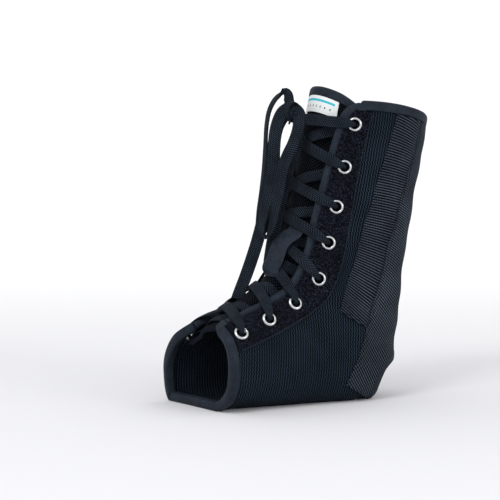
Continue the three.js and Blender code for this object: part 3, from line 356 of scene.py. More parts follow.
def sweep_ribbon(points: Array, flat: Array, width: Array, thickness: Array, around: int = 14,
                 fullness: float = 0.55, closed: bool = False) -> Surface:
    """A flat ribbon carried along a line of points.

    Args:
        points: (n, 3) centre line.
        flat: (n, 3) rough direction of the flat side.
        width: (n,) widths.
        thickness: (n,) thicknesses.
        around: Points round the section.
        fullness: Squareness of the section.
        closed: Whether the line closes on itself.

    Returns:
        The ribbon, with u across in -0.5..0.5 and v along in millimetres.
    """
    tangent = tangents(points, closed)
    side = unit(np.cross(tangent, flat))
    out = unit(np.cross(side, tangent))
    section = ribbon_section(width, thickness, around, fullness)
    rings = points[:, None] + section[..., :1] * side[:, None] + section[..., 1:] * out[:, None]
    along = running_length(points)
    across = section[..., 0] / np.maximum(width[:, None], 1e-6)
    uv = np.stack([across, np.broadcast_to(along[:, None], across.shape)], axis=-1)
    return tube(rings, uv, closed)


def stitches(line: Array, out: Array, pitch: float = 2.6, length: float = 1.9, thick: float = 0.42) -> Surface:
    """A run of sewn stitches along a line: one small spindle for each.

    A spindle is an ellipsoid of revolution, 7 rings of 5 points, laid along the line and
    sunk a little into the cloth.

    Args:
        line: (n, 3) points on the cloth.
        out: (n, 3) the cloth's outward direction there.
        pitch: Distance from one stitch to the next.
        length: Length of a stitch.
        thick: Thickness of the thread.

    Returns:
        All the stitches as one mesh.
    """
    run = running_length(line)
    middles = np.arange(pitch / 2, run[-1], pitch)
    centre = read_at(middles, run, line)
    ahead = unit(read_at(np.minimum(middles + 0.6, run[-1]), run, line)
                 - read_at(np.maximum(middles - 0.6, 0), run, line))
    up = unit(read_at(middles, run, out))
    across = unit(np.cross(ahead, up))
    rings, spokes = 7, 5
    lat = np.linspace(0.06, np.pi - 0.06, rings)
    turn = np.linspace(0, 2 * np.pi, spokes, endpoint=False)
    along = -np.cos(lat)[:, None] * np.ones(spokes) * length / 2
    wide = np.sin(lat)[:, None] * np.cos(turn) * thick / 2
    high = np.sin(lat)[:, None] * np.sin(turn) * thick / 2 + thick * 0.15 - (along / length * 2) ** 2 * thick * 0.4
    body = (centre[:, None, None] + along[..., None] * ahead[:, None, None]
            + wide[..., None] * across[:, None, None] + high[..., None] * up[:, None, None])
    ids = np.arange(rings * spokes).reshape(rings, spokes)
    quads = np.stack([ids[:-1], np.roll(ids[:-1], -1, 1), np.roll(ids[1:], -1, 1), ids[1:]], -1).reshape(-1, 4)
    caps = [ids[0].tolist()[::-1], ids[-1].tolist()]
    faces = []
    for k in range(len(middles)):
        faces += (quads + k * ids.size).tolist()
        faces += [[v + k * ids.size for v in cap] for cap in caps]
    shell = Surface(body.reshape(-1, 3), faces, np.zeros((len(middles) * ids.size, 2)))
    volume_sign = np.sum(np.cross(body[0, 1, 1] - body[0, 1, 0], body[0, 2, 0] - body[0, 1, 0])
                         * (body[0, 1, 0] - body[0].mean(axis=(0, 1))))
    if volume_sign < 0:
        shell.faces = [face[::-1] for face in shell.faces]
    return shell


# ---------------------------------------------------------------- finishes

# Dark cloth: how much of the stated gloss and edge light it shows, and how far its tone drifts
DARK_SPECULAR = 0.12
DARK_SHEEN = 0.035
TONE_DARKEST, TONE_LIGHTEST = 0.72, 1.28

def linear(hex_colour: str) -> Colour:
    """An sRGB hex colour as linear light.

    Args:
        hex_colour: Six hex digits.

    Returns:
        Red, green, blue and alpha.
    """
    values = [int(hex_colour[k:k + 2], 16) / 255 for k in (0, 2, 4)]
    turned = [v / 12.92 if v <= 0.04045 else ((v + 0.055) / 1.055) ** 2.4 for v in values]
    return (turned[0], turned[1], turned[2], 1.0)


class Signal:
    """A number inside a material; sums and products of signals become Math nodes."""

    def __init__(self, tree: bpy.types.NodeTree, socket: bpy.types.NodeSocket) -> None:
        """Keeps the node tree and the socket that carries the number."""
        self.tree, self.socket = tree, socket

    def math(self, operation: str, other: object = 0.0) -> "Signal":
        """One Math node on this signal and another value.

        Args:
            operation: Blender's name of the operation.
            other: The second value, a signal or a number.

        Returns:
            The result.
        """
        return Signal(self.tree, add_node(self.tree, "Math", {0: self, 1: other}, operation=operation).outputs[0])

    def __add__(self, other: object) -> "Signal":
        """The sum."""
        return self.math("ADD", other)

    def __sub__(self, other: object) -> "Signal":
        """The difference."""
        return self.math("SUBTRACT", other)

    def __mul__(self, other: object) -> "Signal":
        """The product."""
        return self.math("MULTIPLY", other)

    def wave(self, pitch: float, phase: object = 0.0) -> "Signal":
        """A cosine ridge: 0.5 + 0.5 cos(2 pi signal / pitch + phase)."""
        return (self * (2 * math.pi / pitch) + phase).math("COSINE") * 0.5 + 0.5

    def between(self, low: float, high: float) -> "Signal":
        """1 where the signal lies between two numbers, 0 elsewhere."""
        return self.math("GREATER_THAN", low) * self.math("LESS_THAN", high)


def add_node(tree: bpy.types.NodeTree, kind: str, inputs: dict | None = None, **settings: object) -> bpy.types.Node:
    """Adds a shader node with its settings, values and links.

    Args:
        tree: The material's node tree.
        kind: The node's type name without its ShaderNode prefix.
        inputs: Input name or number, to a value, a signal or an output socket.
        settings: Properties of the node.

    Returns:
        The node.
    """
    node = tree.nodes.new("ShaderNode" + kind)
    for name, value in settings.items():
        setattr(node, name, value)
    for name, value in (inputs or {}).items():
        value = value.socket if isinstance(value, Signal) else value
        if isinstance(value, bpy.types.NodeSocket):
            tree.links.new(value, node.inputs[name])
        else:
            node.inputs[name].default_value = value
    return node


def mix(tree: bpy.types.NodeTree, share: object, a: object, b: object) -> bpy.types.NodeSocket:
    """The blend of two colours: a at share 0, b at share 1."""
    return add_node(tree, "Mix", {0: share, 6: a, 7: b}, data_type="RGBA").outputs[2]


class Cloth:
    """Builds one fabric's node tree: pattern coordinates, noise and the shader."""

    def __init__(self, name: str) -> None:
        """Starts an empty material of the given name.

        Args:
            name: The material's name.
        """
        self.material = bpy.data.materials.new(name)
        self.material.use_nodes = True
        self.tree = self.material.node_tree
        self.tree.nodes.clear()
        uv = add_node(self.tree, "UVMap", uv_map="weave")
        split = add_node(self.tree, "SeparateXYZ", {0: uv.outputs[0]})
        self.u, self.v = (Signal(self.tree, output) for output in split.outputs[:2])
        self.place = add_node(self.tree, "TexCoord").outputs["Object"]

    def noise(self, size_mm: float, detail: float = 2.0, roughness: float = 0.55) -> Signal:
        """Smooth random value with features of a given size on the object itself.

        Args:
            size_mm: Feature size in millimetres.
            detail: Octaves.
            roughness: Strength of the finer octaves.

        Returns:
            A value round 0.5.
        """
        return Signal(self.tree, add_node(self.tree, "TexNoise", {
            "Vector": self.place, "Scale": 1.0 / (size_mm * MM), "Detail": detail,
            "Roughness": roughness}).outputs["Fac"])

    def shade(self, height: Signal, shaded_and_lit_colours: Sequence[str], depth_mm: float, roughness: float = 0.85,
              sheen: float = 0.25, tone: object = 0.5, specular: float = 0.35,
              span: tuple[float, float] = (0.15, 0.85)) -> bpy.types.Material:
        """Finishes the fabric: colour and bump from one height pattern, the colour painting shade into the gaps and
        light onto the threads.

        Args:
            height: The weave's height, 0 in the gaps and 1 on the threads.
            shaded_and_lit_colours: The colour down in the gaps and the one on the threads.
            depth_mm: Height of the threads over the gaps.
            roughness: Base roughness.
            sheen: Weight of the soft edge light that fibres give.
            tone: A slow value round 0.5 that varies the whole colour.
            specular: Specular level.
            span: Heights at which the two colours are reached.

        Returns:
            The finished material.
        """
        tree = self.tree
        # Painted shade and light: low heights take the dark colour of the gaps, high heights the light colour of the
        # threads
        ramp = add_node(tree, "MapRange", {"Value": height, "From Min": span[0], "From Max": span[1]})
        colour = mix(tree, ramp.outputs[0], linear(shaded_and_lit_colours[0]), linear(shaded_and_lit_colours[1]))
        shift = add_node(tree, "MapRange", {"Value": tone, "From Min": 0.25, "From Max": 0.75,
                         "To Min": TONE_DARKEST, "To Max": TONE_LIGHTEST})
        toned = add_node(tree, "HueSaturation", {"Value": shift.outputs[0], "Color": colour})
        bump = add_node(tree, "Bump", {"Height": height, "Distance": depth_mm * MM, "Strength": 1.0})
        base = add_node(tree, "BsdfPrincipled", {
            "Base Color": toned.outputs[0], "Roughness": roughness, "Normal": bump.outputs[0],
            "Specular IOR Level": DARK_SPECULAR * specular, "Sheen Weight": DARK_SHEEN * sheen,
            "Sheen Roughness": 0.45, "Sheen Tint": (0.72, 0.82, 1.0, 1.0)})
        tree.nodes.active = add_node(tree, "OutputMaterial", {"Surface": base.outputs[0]})
        return self.material


# Every fabric's colour pair below paints shade into the gaps of its weave and light onto its threads
@dataclass(frozen=True)
class KnitMesh:
    """Warp-knitted polyester mesh: fine wavy columns, with painted shade between them."""

    column_mm: float = 1.95
    ripple_mm: float = 3.1
    shaded_and_lit_colours: tuple[str, str] = ("03070c", "303d4b")

    def material(self) -> bpy.types.Material:
        """The finish: ridges along the wales that waver from side to side.

        Returns:
            The finished material.
        """
        cloth = Cloth("knitted_polyester_mesh")
        sway = (cloth.v * (2 * math.pi / self.ripple_mm)).math("SINE")
        ridge = cloth.u.wave(self.column_mm, sway)
        # Half a loop's shift from one column to the next
        column = cloth.u.math("DIVIDE", self.column_mm).math("FLOOR") * math.pi
        knit = ridge * (cloth.v.wave(self.ripple_mm / 2, column) * 0.45 + 0.55)
        fibre = (cloth.noise(0.6) - 0.5) * 0.35
        return cloth.shade(knit + fibre, self.shaded_and_lit_colours, 0.5, 0.8, 0.3, cloth.noise(38.0), 0.4, (0.33, 0.98))


@dataclass(frozen=True)
class BrushedFacing:
    """Brushed looped cloth: short raised fibres, very dark, with painted light as flecks on the raised tufts."""

    tuft_mm: float = 1.0
    shaded_and_lit_colours: tuple[str, str] = ("030408", "363b48")

    def material(self) -> bpy.types.Material:
        """The finish: coarse clumps of tufts and fine fibre.

        Returns:
            The finished material.
        """
        cloth = Cloth("brushed_loop_cloth")
        clump, fibre = cloth.noise(self.tuft_mm * 1.15, 3.0, 0.7), cloth.noise(self.tuft_mm * 0.4, 2.0, 0.6)
        return cloth.shade(clump * 0.6 + fibre * 0.4, self.shaded_and_lit_colours, 0.75, 0.95, 0.35, cloth.noise(14.0), 0.2,
                           (0.47, 0.74))


@dataclass(frozen=True)
class Webbing:
    """Grosgrain webbing: the ribs are in the mesh, this adds thread and painted shade in the grooves."""

    rib_mm: float = 1.85
    thread_mm: float = 1.3
    shaded_and_lit_colours: tuple[str, str] = ("020305", "4a5361")

    def material(self) -> bpy.types.Material:
        """The finish: painted light on the rib's crown, painted shade in the groove, a thread along it.

        Returns:
            The finished material.
        """
        cloth = Cloth("grosgrain_webbing")
        thread = (cloth.u + cloth.v * 0.3).wave(self.thread_mm)
        weave = cloth.v.wave(self.rib_mm) * (thread * 0.45 + cloth.noise(0.9) * 0.7 + 0.2)
        return cloth.shade(weave, self.shaded_and_lit_colours, 0.3, 0.75, 0.25, cloth.noise(20.0), 0.45, (0.28, 0.95))


@dataclass(frozen=True)
class RibbedElastic:
    """Knitted elastic: fine slanting ribs close together."""

    rib_mm: float = 1.7
    cross_mm: float = 2.6
    shaded_and_lit_colours: tuple[str, str] = ("080a0f", "4a525d")

    def material(self) -> bpy.types.Material:
        """The finish: fine ribs with a broken thread line across them.

        Returns:
            The finished material.
        """
        cloth = Cloth("ribbed_elastic")
        rib, cross = (cloth.v + cloth.u * 0.35).wave(self.rib_mm), cloth.u.wave(self.cross_mm)
        weave = rib * 0.6 + cross * 0.2 + cloth.noise(0.7) * 0.3
        return cloth.shade(weave, self.shaded_and_lit_colours, 0.22, 0.85, 0.3, cloth.noise(26.0), 0.3, (0.42, 0.98))


@dataclass(frozen=True)
class FoldedTape:
    """Fine twill binding tape: smooth, a little lighter and shinier than the cloth."""

    rib_mm: float = 0.9
    shaded_and_lit_colours: tuple[str, str] = ("0b0e13", "303843")

    def material(self) -> bpy.types.Material:
        """The finish: a faint twill line, with soft mottling.

        Returns:
            The finished material.
        """
        cloth = Cloth("folded_binding_tape")
        weave = (cloth.u + cloth.v).wave(self.rib_mm) * 0.4 + cloth.noise(1.1, 3.0) * 0.7
        return cloth.shade(weave, self.shaded_and_lit_colours, 0.08, 0.6, 0.3, cloth.noise(9.0), 0.5, (0.15, 1.0))


@dataclass(frozen=True)
class TongueKnit:
    """Padded spacer knit with small raised dots in a diamond lattice."""

    dot_mm: float = 2.5
    shaded_and_lit_colours: tuple[str, str] = ("020305", "2e3742")

    def material(self) -> bpy.types.Material:
        """The finish: the product of two slanting waves gives the lattice of dots.

        Returns:
            The finished material.
        """
        cloth = Cloth("padded_dot_knit")
        dots = (cloth.u + cloth.v).wave(self.dot_mm) * (cloth.u - cloth.v).wave(self.dot_mm)
        fibre = (cloth.noise(0.7) - 0.5) * 0.3
        return cloth.shade(dots + fibre, self.shaded_and_lit_colours, 0.35, 0.85, 0.3, cloth.noise(15.0), 0.3, (0.3, 1.1))


@dataclass(frozen=True)
class WovenLace:
    """Flat braided polyester lace: chevron strands that meet at the middle."""

    strand_mm: float = 1.5
    shaded_and_lit_colours: tuple[str, str] = ("04070b", "3d4754")

    def material(self) -> bpy.types.Material:
        """The finish: slanting strands mirrored about the lace's centre line.

        Returns:
            The finished material.
        """
        cloth = Cloth("braided_flat_lace")
        strand = (cloth.v + cloth.u.math("ABSOLUTE") * 6.0).wave(self.strand_mm)
        weave = strand * 0.55 + cloth.u.wave(0.19) * 0.2 + cloth.noise(0.8, 3.0, 0.7) * 0.5
        return cloth.shade(weave, self.shaded_and_lit_colours, 0.4, 0.8, 0.35, cloth.noise(12.0), 0.35, (0.58, 1.15))


@dataclass(frozen=True)
class SatinTape:
    """Satin woven tape: long floats that shine softly along the tape."""

    shaded_and_lit_colours: tuple[str, str] = ("12161d", "2f3744")

    def material(self) -> bpy.types.Material:
        """The finish: very fine lines along the tape, low roughness.

        Returns:
            The finished material.
        """
        cloth = Cloth("satin_tape")
        weave = (cloth.u * 10.0).wave(0.9) * 0.3 + cloth.noise(2.2) * 0.6
        return cloth.shade(weave, self.shaded_and_lit_colours, 0.05, 0.45, 0.3, cloth.noise(8.0, 1.0), 0.6, (0.1, 0.9))


@dataclass(frozen=True)
class SewingThread:
    """Polyester sewing thread, a shade lighter than the cloth."""

    shaded_and_lit_colours: tuple[str, str] = ("0c1015", "2c343e")

    def material(self) -> bpy.types.Material:
        """The finish: fine twist, soft shine."""
        cloth = Cloth("sewing_thread")
        return cloth.shade(cloth.noise(0.5), self.shaded_and_lit_colours, 0.05, 0.6, 0.3, 0.5, 0.4, (0.3, 0.7))


@dataclass(frozen=True)
class WovenLabel:
    """White woven label with one plain teal band and a row of plain dark ticks."""

    middle_mm: float = 7.0
    printed_mm: float = 17.1
    shaded_and_lit_colours: tuple[str, str] = ("d9dddd", "f3f6f6")
    band_colour: str = "3fb3c4"
    tick_colour: str = "27333c"

    def material(self) -> bpy.types.Material:
        """The finish: fine white damask, the band near its top, the ticks near its foot.

        Returns:
            The finished material.
        """
        cloth = Cloth("woven_white_label")
        weave = cloth.u.wave(0.6) * cloth.v.wave(0.6)
        material = cloth.shade(weave, self.shaded_and_lit_colours, 0.05, 0.6, 0.1, 0.5, 0.4)
        white = next(n for n in cloth.tree.nodes if n.bl_idname == "ShaderNodeHueSaturation")
        shader = next(n for n in cloth.tree.nodes if n.bl_idname == "ShaderNodeBsdfPrincipled")
        inside = (cloth.u - self.middle_mm).math("ABSOLUTE").math("LESS_THAN", self.printed_mm)
        band = cloth.v.between(LABEL_HEIGHT * 0.66, LABEL_HEIGHT * 0.8)
        tick = cloth.v.between(LABEL_HEIGHT * 0.3, LABEL_HEIGHT * 0.42)
        tick = tick * cloth.u.wave(4.2).math("GREATER_THAN", 0.9)
        teal = mix(cloth.tree, band * inside, white.outputs[0], linear(self.band_colour))
        both = mix(cloth.tree, tick * inside, teal, linear(self.tick_colour))
        cloth.tree.links.new(both, shader.inputs["Base Color"])
        return material


@dataclass(frozen=True)
class NickelEyelet:
    """Nickel-plated brass eyelet: bright, with fine marks from the setting tool."""

    colour: str = "c4c7c9"
    roughness: float = 0.22

    def material(self) -> bpy.types.Material:
        """The finish: metal with small changes of roughness.

        Returns:
            The finished material.
        """
        cloth = Cloth("nickel_plated_brass")
        marks = cloth.noise(1.2, 3.0)
        rough = add_node(cloth.tree, "MapRange", {"Value": marks, "From Min": 0.3, "From Max": 0.7,
                         "To Min": self.roughness * 0.7, "To Max": self.roughness * 1.6})
        bump = add_node(cloth.tree, "Bump", {"Height": marks, "Distance": 0.04 * MM})
        metal = add_node(cloth.tree, "BsdfPrincipled", {"Base Color": linear(self.colour), "Metallic": 1.0,
                         "Roughness": rough.outputs[0], "Normal": bump.outputs[0]})
        add_node(cloth.tree, "OutputMaterial", {"Surface": metal.outputs[0]})
        return cloth.material


@dataclass(frozen=True)
class PaleFloor:
    """Matt white studio floor, with painted shade that makes it a little darker near the brace than far behind it."""

    # The near colour is painted shade round the brace; the far one is the floor's own white
    near: str = "dddde0"
    far: str = "fdfdfe"
    fade_m: float = 1.5

    def material(self) -> bpy.types.Material:
        """The finish: matt, blending from the near colour, painted shade, to the far colour away from the camera.

        Returns:
            The finished material.
        """
        material = bpy.data.materials.new("studio_floor")
        material.use_nodes = True
        tree = material.node_tree
        tree.nodes.clear()
        place = add_node(tree, "TexCoord").outputs["Object"]
        away = add_node(tree, "VectorMath", {0: place, 1: (-0.899, 0.438, 0.0)}, operation="DOT_PRODUCT")
        share = add_node(tree, "MapRange", {"Value": away.outputs["Value"], "From Min": 0.0,
                         "From Max": self.fade_m}, interpolation_type="SMOOTHSTEP")
        colour = mix(tree, share.outputs[0], linear(self.near), linear(self.far))
        shader = add_node(tree, "BsdfPrincipled", {"Base Color": colour, "Roughness": 0.9,
                          "Specular IOR Level": 0.1})
        add_node(tree, "OutputMaterial", {"Surface": shader.outputs[0]})
        return material


# ---------------------------------------------------------------- the form

# One row a station from the toe edge to the collar: front line x, y, z, back line y, z,
# half width, front and back powers, tilt, yaw, slot, facing, stay front and rear
SECTIONS = np.array([
    [0.07, -0.375, 0.269, -0.35, -0.014, 0.5, 2.25, 3, 0.16, 11, 0.404, 1, 0.84, 1.14],
    [0.058, -0.27, 0.315, -0.213, -0.014, 0.477, 2.2, 3, 0.14, 9, 0.442, 0.93, 0.84, 1.14],
    [0.047, -0.168, 0.366, -0.046, -0.014, 0.453, 2.2, 3, 0.11, 6, 0.481, 0.88, 0.84, 1.14],
    [0.023, -0.094, 0.407, 0.144, -0.014, 0.43, 2.1, 2.9, 0.08, 2, 0.5, 0.84, 0.88, 1.36],
    [0, -0.05, 0.444, 0.322, -0.014, 0.419, 2.1, 2.7, 0.04, 0, 0.5, 0.91, 0.84, 1.225],
    [0, -0.028, 0.477, 0.45, 0.046, 0.413, 2.1, 2.5, 0.03, 0, 0.5, 1, 0.79, 1.11],
    [0, -0.011, 0.514, 0.478, 0.176, 0.407, 2.1, 2.3, 0.02, 0, 0.5, 1.02, 0.735, 1.05],
    [0, 0.006, 0.556, 0.5, 0.324, 0.401, 2.1, 2.2, 0, 0, 0.5, 0.98, 0.723, 1.01],
    [0, 0.022, 0.62, 0.528, 0.481, 0.407, 2.1, 2.1, 0, 0, 0.5, 0.94, 0.731, 1.02],
    [0, 0.056, 0.718, 0.561, 0.648, 0.424, 2.1, 2.1, 0, 0, 0.519, 0.86, 0.757, 1.052],
    [0, 0.094, 0.856, 0.594, 0.792, 0.453, 2.1, 2.1, 0.02, 0, 0.577, 0.78, 0.807, 1.105],
    [0, 0.133, 1, 0.625, 0.917, 0.483, 2.1, 2.1, 0.05, 0, 0.673, 0.71, 0.855, 1.17],
])
LAST = len(SECTIONS) - 1.0
SLOT, FACING, STAY_FRONT, STAY_REAR = 10, 11, 12, 13
# Stations where the cloth's length is read for margins from its two ends
NEAR_TOE, NEAR_COLLAR = 0.2, LAST - 0.2
# The stay pocket's foot: stations at its front and rear edge
POCKET_FOOT = (5.05, 5.45)
HEEL_EDGE = np.array([[0.36, -0.06], [0.36, 0.02], [0.363, 0.065], [0.378, 0.102], [0.41, 0.124],
                      [0.45, 0.134], [0.51, 0.139], [0.62, 0.142]])
EYELETS = np.array([[0.62, 1.3], [1.8, 1.12], [3.3, 1.0], [5.55, 1.3], [7.38, 1.15], [8.56, 1.12],
                    [9.55, 1.0], [10.53, 0.86]])


class Form:
    """The worn shape: a point for each station along it and each distance round it."""

    def __init__(self) -> None:
        """Tabulates the girth of both sides, to turn distances round into angles."""
        self.first, self.step, self.rows, self.turns = -0.6, 0.04, 331, 181
        stations = self.first + self.step * np.arange(self.rows)
        angles = np.linspace(0.0, np.pi, self.turns)
        grid = np.meshgrid(stations, angles, indexing="ij")
        self.theta = np.empty((2, self.rows, self.turns))
        self.total = np.empty((2, self.rows))
        for k, side in enumerate((1.0, -1.0)):
            points = self.section(grid[0], side * grid[1])
            run = np.cumsum(np.linalg.norm(np.diff(points, axis=1), axis=2), axis=1)
            run = np.concatenate([np.zeros((self.rows, 1)), run], axis=1)
            self.total[k] = run[:, -1]
            for row in range(self.rows):
                even = np.linspace(0.0, run[row, -1], self.turns)
                self.theta[k, row] = np.interp(even, run[row], angles)

    def row(self, station: Array) -> Array:
        """The section numbers at a station: a Catmull-Rom curve down each column.

        Args:
            station: Stations.

        Returns:
            The interpolated rows.
        """
        i = np.clip(np.floor(station), 0, LAST - 1).astype(int)
        f = (np.asarray(station) - i)[..., None]
        b, c = SECTIONS[i], SECTIONS[i + 1]
        a = np.where((i == 0)[..., None], 2 * b - c, SECTIONS[np.maximum(i - 1, 0)])
        d = np.where((i == LAST - 1)[..., None], 2 * c - b, SECTIONS[np.minimum(i + 2, int(LAST))])
        return 0.5 * (2 * b + (c - a) * f + (2 * a - 5 * b + 4 * c - d) * f**2 + (3 * b - a - 3 * c + d) * f**3)

    def section(self, station: Array, angle: Array) -> Array:
        """A point from its station and its angle from the front line.

        A skewed superellipse between the front and the back line, held above the ground
        by the thickness of the tapes that pass under it.

        Args:
            station: Stations.
            angle: Angles, positive on the inner side.

        Returns:
            (..., 3) points.
        """
        r = self.row(station)
        front = r[..., 0:3] * np.array([BRACE_WIDTH, BRACE_LENGTH, BRACE_HEIGHT])
        back = np.stack([0 * r[..., 3], r[..., 3] * BRACE_LENGTH, r[..., 4] * BRACE_HEIGHT], axis=-1)
        arm = (front - back) / 2
        yaw = np.radians(r[..., 9])
        across = np.stack([np.cos(yaw), np.sin(yaw), 0 * yaw], axis=-1)
        power = 2.0 / np.where(np.cos(angle) > 0, r[..., 6], r[..., 7])
        side = (signed_power(np.sin(angle), power) * r[..., 5] * BRACE_WIDTH)[..., None]
        point = ((front + back) / 2 + arm * signed_power(np.cos(angle), power)[..., None]
                 + across * side + unit(arm) * side * r[..., 8:9])
        ends = np.maximum(1 - smooth((station - 0.4) / 0.5), smooth((station - 3.65) / 0.3))
        lift = (TAPE + SEAT_GAP + 0.6) * ends
        point[..., 2] = np.maximum(point[..., 2], lift)
        return point

    def table_place(self, station: Array) -> Array:
        """Where a station falls between the rows of the tables."""
        return np.clip((station - self.first) / self.step, 0, self.rows - 1.001)

    def girth(self, station: Array, table: Array) -> Array:
        """Half the way round at a station, on side 0 (inner) or 1 (outer).

        Args:
            station: Stations.
            table: The side, 0 or 1.

        Returns:
            Lengths in millimetres.
        """
        place = self.table_place(station)
        i = place.astype(int)
        return lerp(self.total[table, i], self.total[table, i + 1], place - i)

    def point(self, station: Array, round_: Array) -> Array:
        """A point of the cloth's outer face.

        Args:
            station: Stations.
            round_: Signed distances round from the front line.

        Returns:
            (..., 3) points.
        """
        station, round_ = np.broadcast_arrays(np.asarray(station, float), np.asarray(round_, float))
        table = (round_ < 0).astype(int)
        total = self.girth(station, table)
        beyond = np.abs(round_) > total
        reach = np.where(beyond, 2 * total - np.abs(round_), np.abs(round_))
        table = np.where(beyond, 1 - table, table)
        place = self.table_place(station)
        column = np.clip(reach / self.girth(station, table), 0, 0.99999) * (self.turns - 1)
        i, j = place.astype(int), column.astype(int)
        f, g = place - i, column - j
        low = lerp(self.theta[table, i, j], self.theta[table, i, j + 1], g)
        high = lerp(self.theta[table, i + 1, j], self.theta[table, i + 1, j + 1], g)
        return self.section(station, np.where(table == 1, -1.0, 1.0) * lerp(low, high, f))

    def slopes(self, station: Array, round_: Array) -> tuple[Array, Array]:
        """Changes of the point with station and with distance round.

        Args:
            station: Stations.
            round_: Distances round.

        Returns:
            Both changes, each (..., 3).
        """
        ahead = (self.point(station + 0.06, round_) - self.point(station - 0.06, round_)) / 0.12
        across = (self.point(station, round_ + 2.5) - self.point(station, round_ - 2.5)) / 5.0
        return ahead, across

    def normal(self, station: Array, round_: Array) -> Array:
        """Outward directions."""
        ahead, across = self.slopes(np.asarray(station, float), np.asarray(round_, float))
        return unit(np.cross(across, ahead))

    def offset(self, station: Array, round_: Array, height: Array | float) -> Array:
        """Points a height above the cloth's outer face, with the soft creases of worn cloth.

        Args:
            station: Stations.
            round_: Distances round.
            height: Heights along the normal.

        Returns:
            (..., 3) points.
        """
        crease = (0.45 * np.sin(station * 4.1 + round_ * 0.09) * np.sin(round_ * 0.055 + 0.6)
                  + 0.3 * np.sin(station * 7.3 - round_ * 0.12 + 1.0)) * smooth(np.abs(round_) / 60.0)
        point = self.point(station, round_)
        crease = crease * smooth((point[..., 2] - 4.0) / 25.0)
        lift = np.broadcast_to(np.asarray(height, float) + crease, np.broadcast(station, round_).shape)
        return point + self.normal(station, round_) * lift[..., None]

    def length_at(self, station: float, round_: Array) -> Array:
        """Millimetres along the cloth for one station."""
        return np.linalg.norm(self.point(station + 0.1, round_) - self.point(station - 0.1, round_), axis=-1) / 0.2

    def across_size(self, column: int, station: Array) -> Array:
        """One of the widths of the section rows, in millimetres."""
        scale = {SLOT: SLOT_WIDTH, FACING: FACING_WIDTH, STAY_FRONT: BRACE_WIDTH, STAY_REAR: BRACE_WIDTH}
        return self.row(station)[..., column] * scale[column]

    def collar(self, round_: Array) -> Array:
        """Stations of the collar's edge, which rises a little at each side.

        Args:
            round_: Signed distances round.

        Returns:
            Stations.
        """
        slot = self.across_size(SLOT, np.array(LAST))
        total = self.girth(np.full(np.shape(round_), LAST), (np.asarray(round_) < 0).astype(int))
        share = np.clip((np.abs(round_) - slot) / (total - slot), 0, 1)
        return LAST + COLLAR_RISE * np.sin(np.pi * share) / self.length_at(LAST, round_)

    def slot_edge(self, station: Array) -> Array:
        """Distance round to the slot's edge, drawn back at its two rounded corners.

        Args:
            station: Stations.

        Returns:
            Distances round.
        """
        slot = self.across_size(SLOT, station)
        top = (self.collar(slot) - station) * self.length_at(NEAR_COLLAR, slot)
        toe = station * self.length_at(NEAR_TOE, slot)
        for distance, radius in ((top, COLLAR_CORNER), (toe, TOE_CORNER)):
            reach = np.clip(radius - np.maximum(distance, 0), 0, radius)
            slot = slot + (radius - np.sqrt(radius * radius - reach**2))
        return slot

    def inward(self, station: Array, round_: Array, direction: Array, distance: float) -> tuple[Array, Array]:
        """The place a distance into the cloth from an edge place.

        Solves the two slopes' normal equations for the step in station and round.

        Args:
            station: Stations of the edge.
            round_: Its distances round.
            direction: Unit directions into the cloth.
            distance: How far in.

        Returns:
            Stations and distances round.
        """
        a, b = self.slopes(station, round_)
        aa, ab, bb = (a * a).sum(-1), (a * b).sum(-1), (b * b).sum(-1)
        da, db = (direction * a).sum(-1) * distance, (direction * b).sum(-1) * distance
        det = aa * bb - ab * ab
        return station + (da * bb - db * ab) / det, round_ + (db * aa - da * ab) / det


FORM = Form()
EYELET_ROUND = FORM.across_size(SLOT, EYELETS[:, 0]) + EYELETS[:, 1] * EYELET_SETBACK


def eyelet_clear(middle: Array, side: int, radius: float) -> Array:
    """Which points lie outside every eyelet's hole on one side.

    Args:
        middle: (..., 3) middles of cells.
        side: The sign of X.
        radius: The holes' radius.

    Returns:
        True where the cell stays.
    """
    centres = FORM.offset(EYELETS[:, 0], side * EYELET_ROUND, 0.8)
    return np.linalg.norm(middle[..., None, :] - centres, axis=-1).min(axis=-1) > radius


def heel_outline() -> Array:
    """The heel opening's outline in side view: a smooth curve, closed along the ground."""
    edge = smooth_run(np.column_stack([HEEL_EDGE * [BRACE_LENGTH, BRACE_HEIGHT], np.zeros(8)]), 2.0)[:, :2]
    return np.vstack([edge, [edge[-1, 0], edge[0, 1]]])


# ---------------------------------------------------------------- pieces

def eased(count: int, share: float) -> Array:
    """(count + 1, 1) shares from 0 to 1, part cosine, so closer together at both ends."""
    s = np.linspace(0, 1, count + 1)[:, None]
    return lerp(s, 0.5 - 0.5 * np.cos(np.pi * s), share)


def round_trip(cells: int) -> tuple[Array, Array, Array]:
    """Shares from the inner edge round to the back line and on to the outer edge.

    Args:
        cells: Cells on each side.

    Returns:
        The shares, the sign of X and the side's number in the form's tables, each (1, n).
    """
    share = np.concatenate([np.linspace(0, 1, cells + 1), np.linspace(1, 0, cells + 1)[1:]])[None]
    side = np.where(np.arange(2 * cells + 1) <= cells, 1.0, -1.0)[None]
    return share, side, (side < 0).astype(int)


def layer(station: Array, round_: Array, levels: Sequence[Array | float], weave: Sequence[Array],
          keep: Callable[[Array], Array] | None = None) -> Surface:
    """A cloth layer over a grid of places.

    Args:
        station: (rows, columns) stations.
        round_: Signed distances round.
        levels: Heights of its outer and its inner face.
        weave: Pattern coordinates across and along, in millimetres.
        keep: Tells from the cells' middles which cells exist, all of them by default.

    Returns:
        The layer.
    """
    outer, inner = (FORM.offset(station, round_, level) for level in levels)
    uv = np.stack([part + 0 * round_ for part in weave], axis=-1)
    return wall(outer, inner, uv, keep((outer[:-1, :-1] + outer[1:, 1:]) / 2) if keep else None)


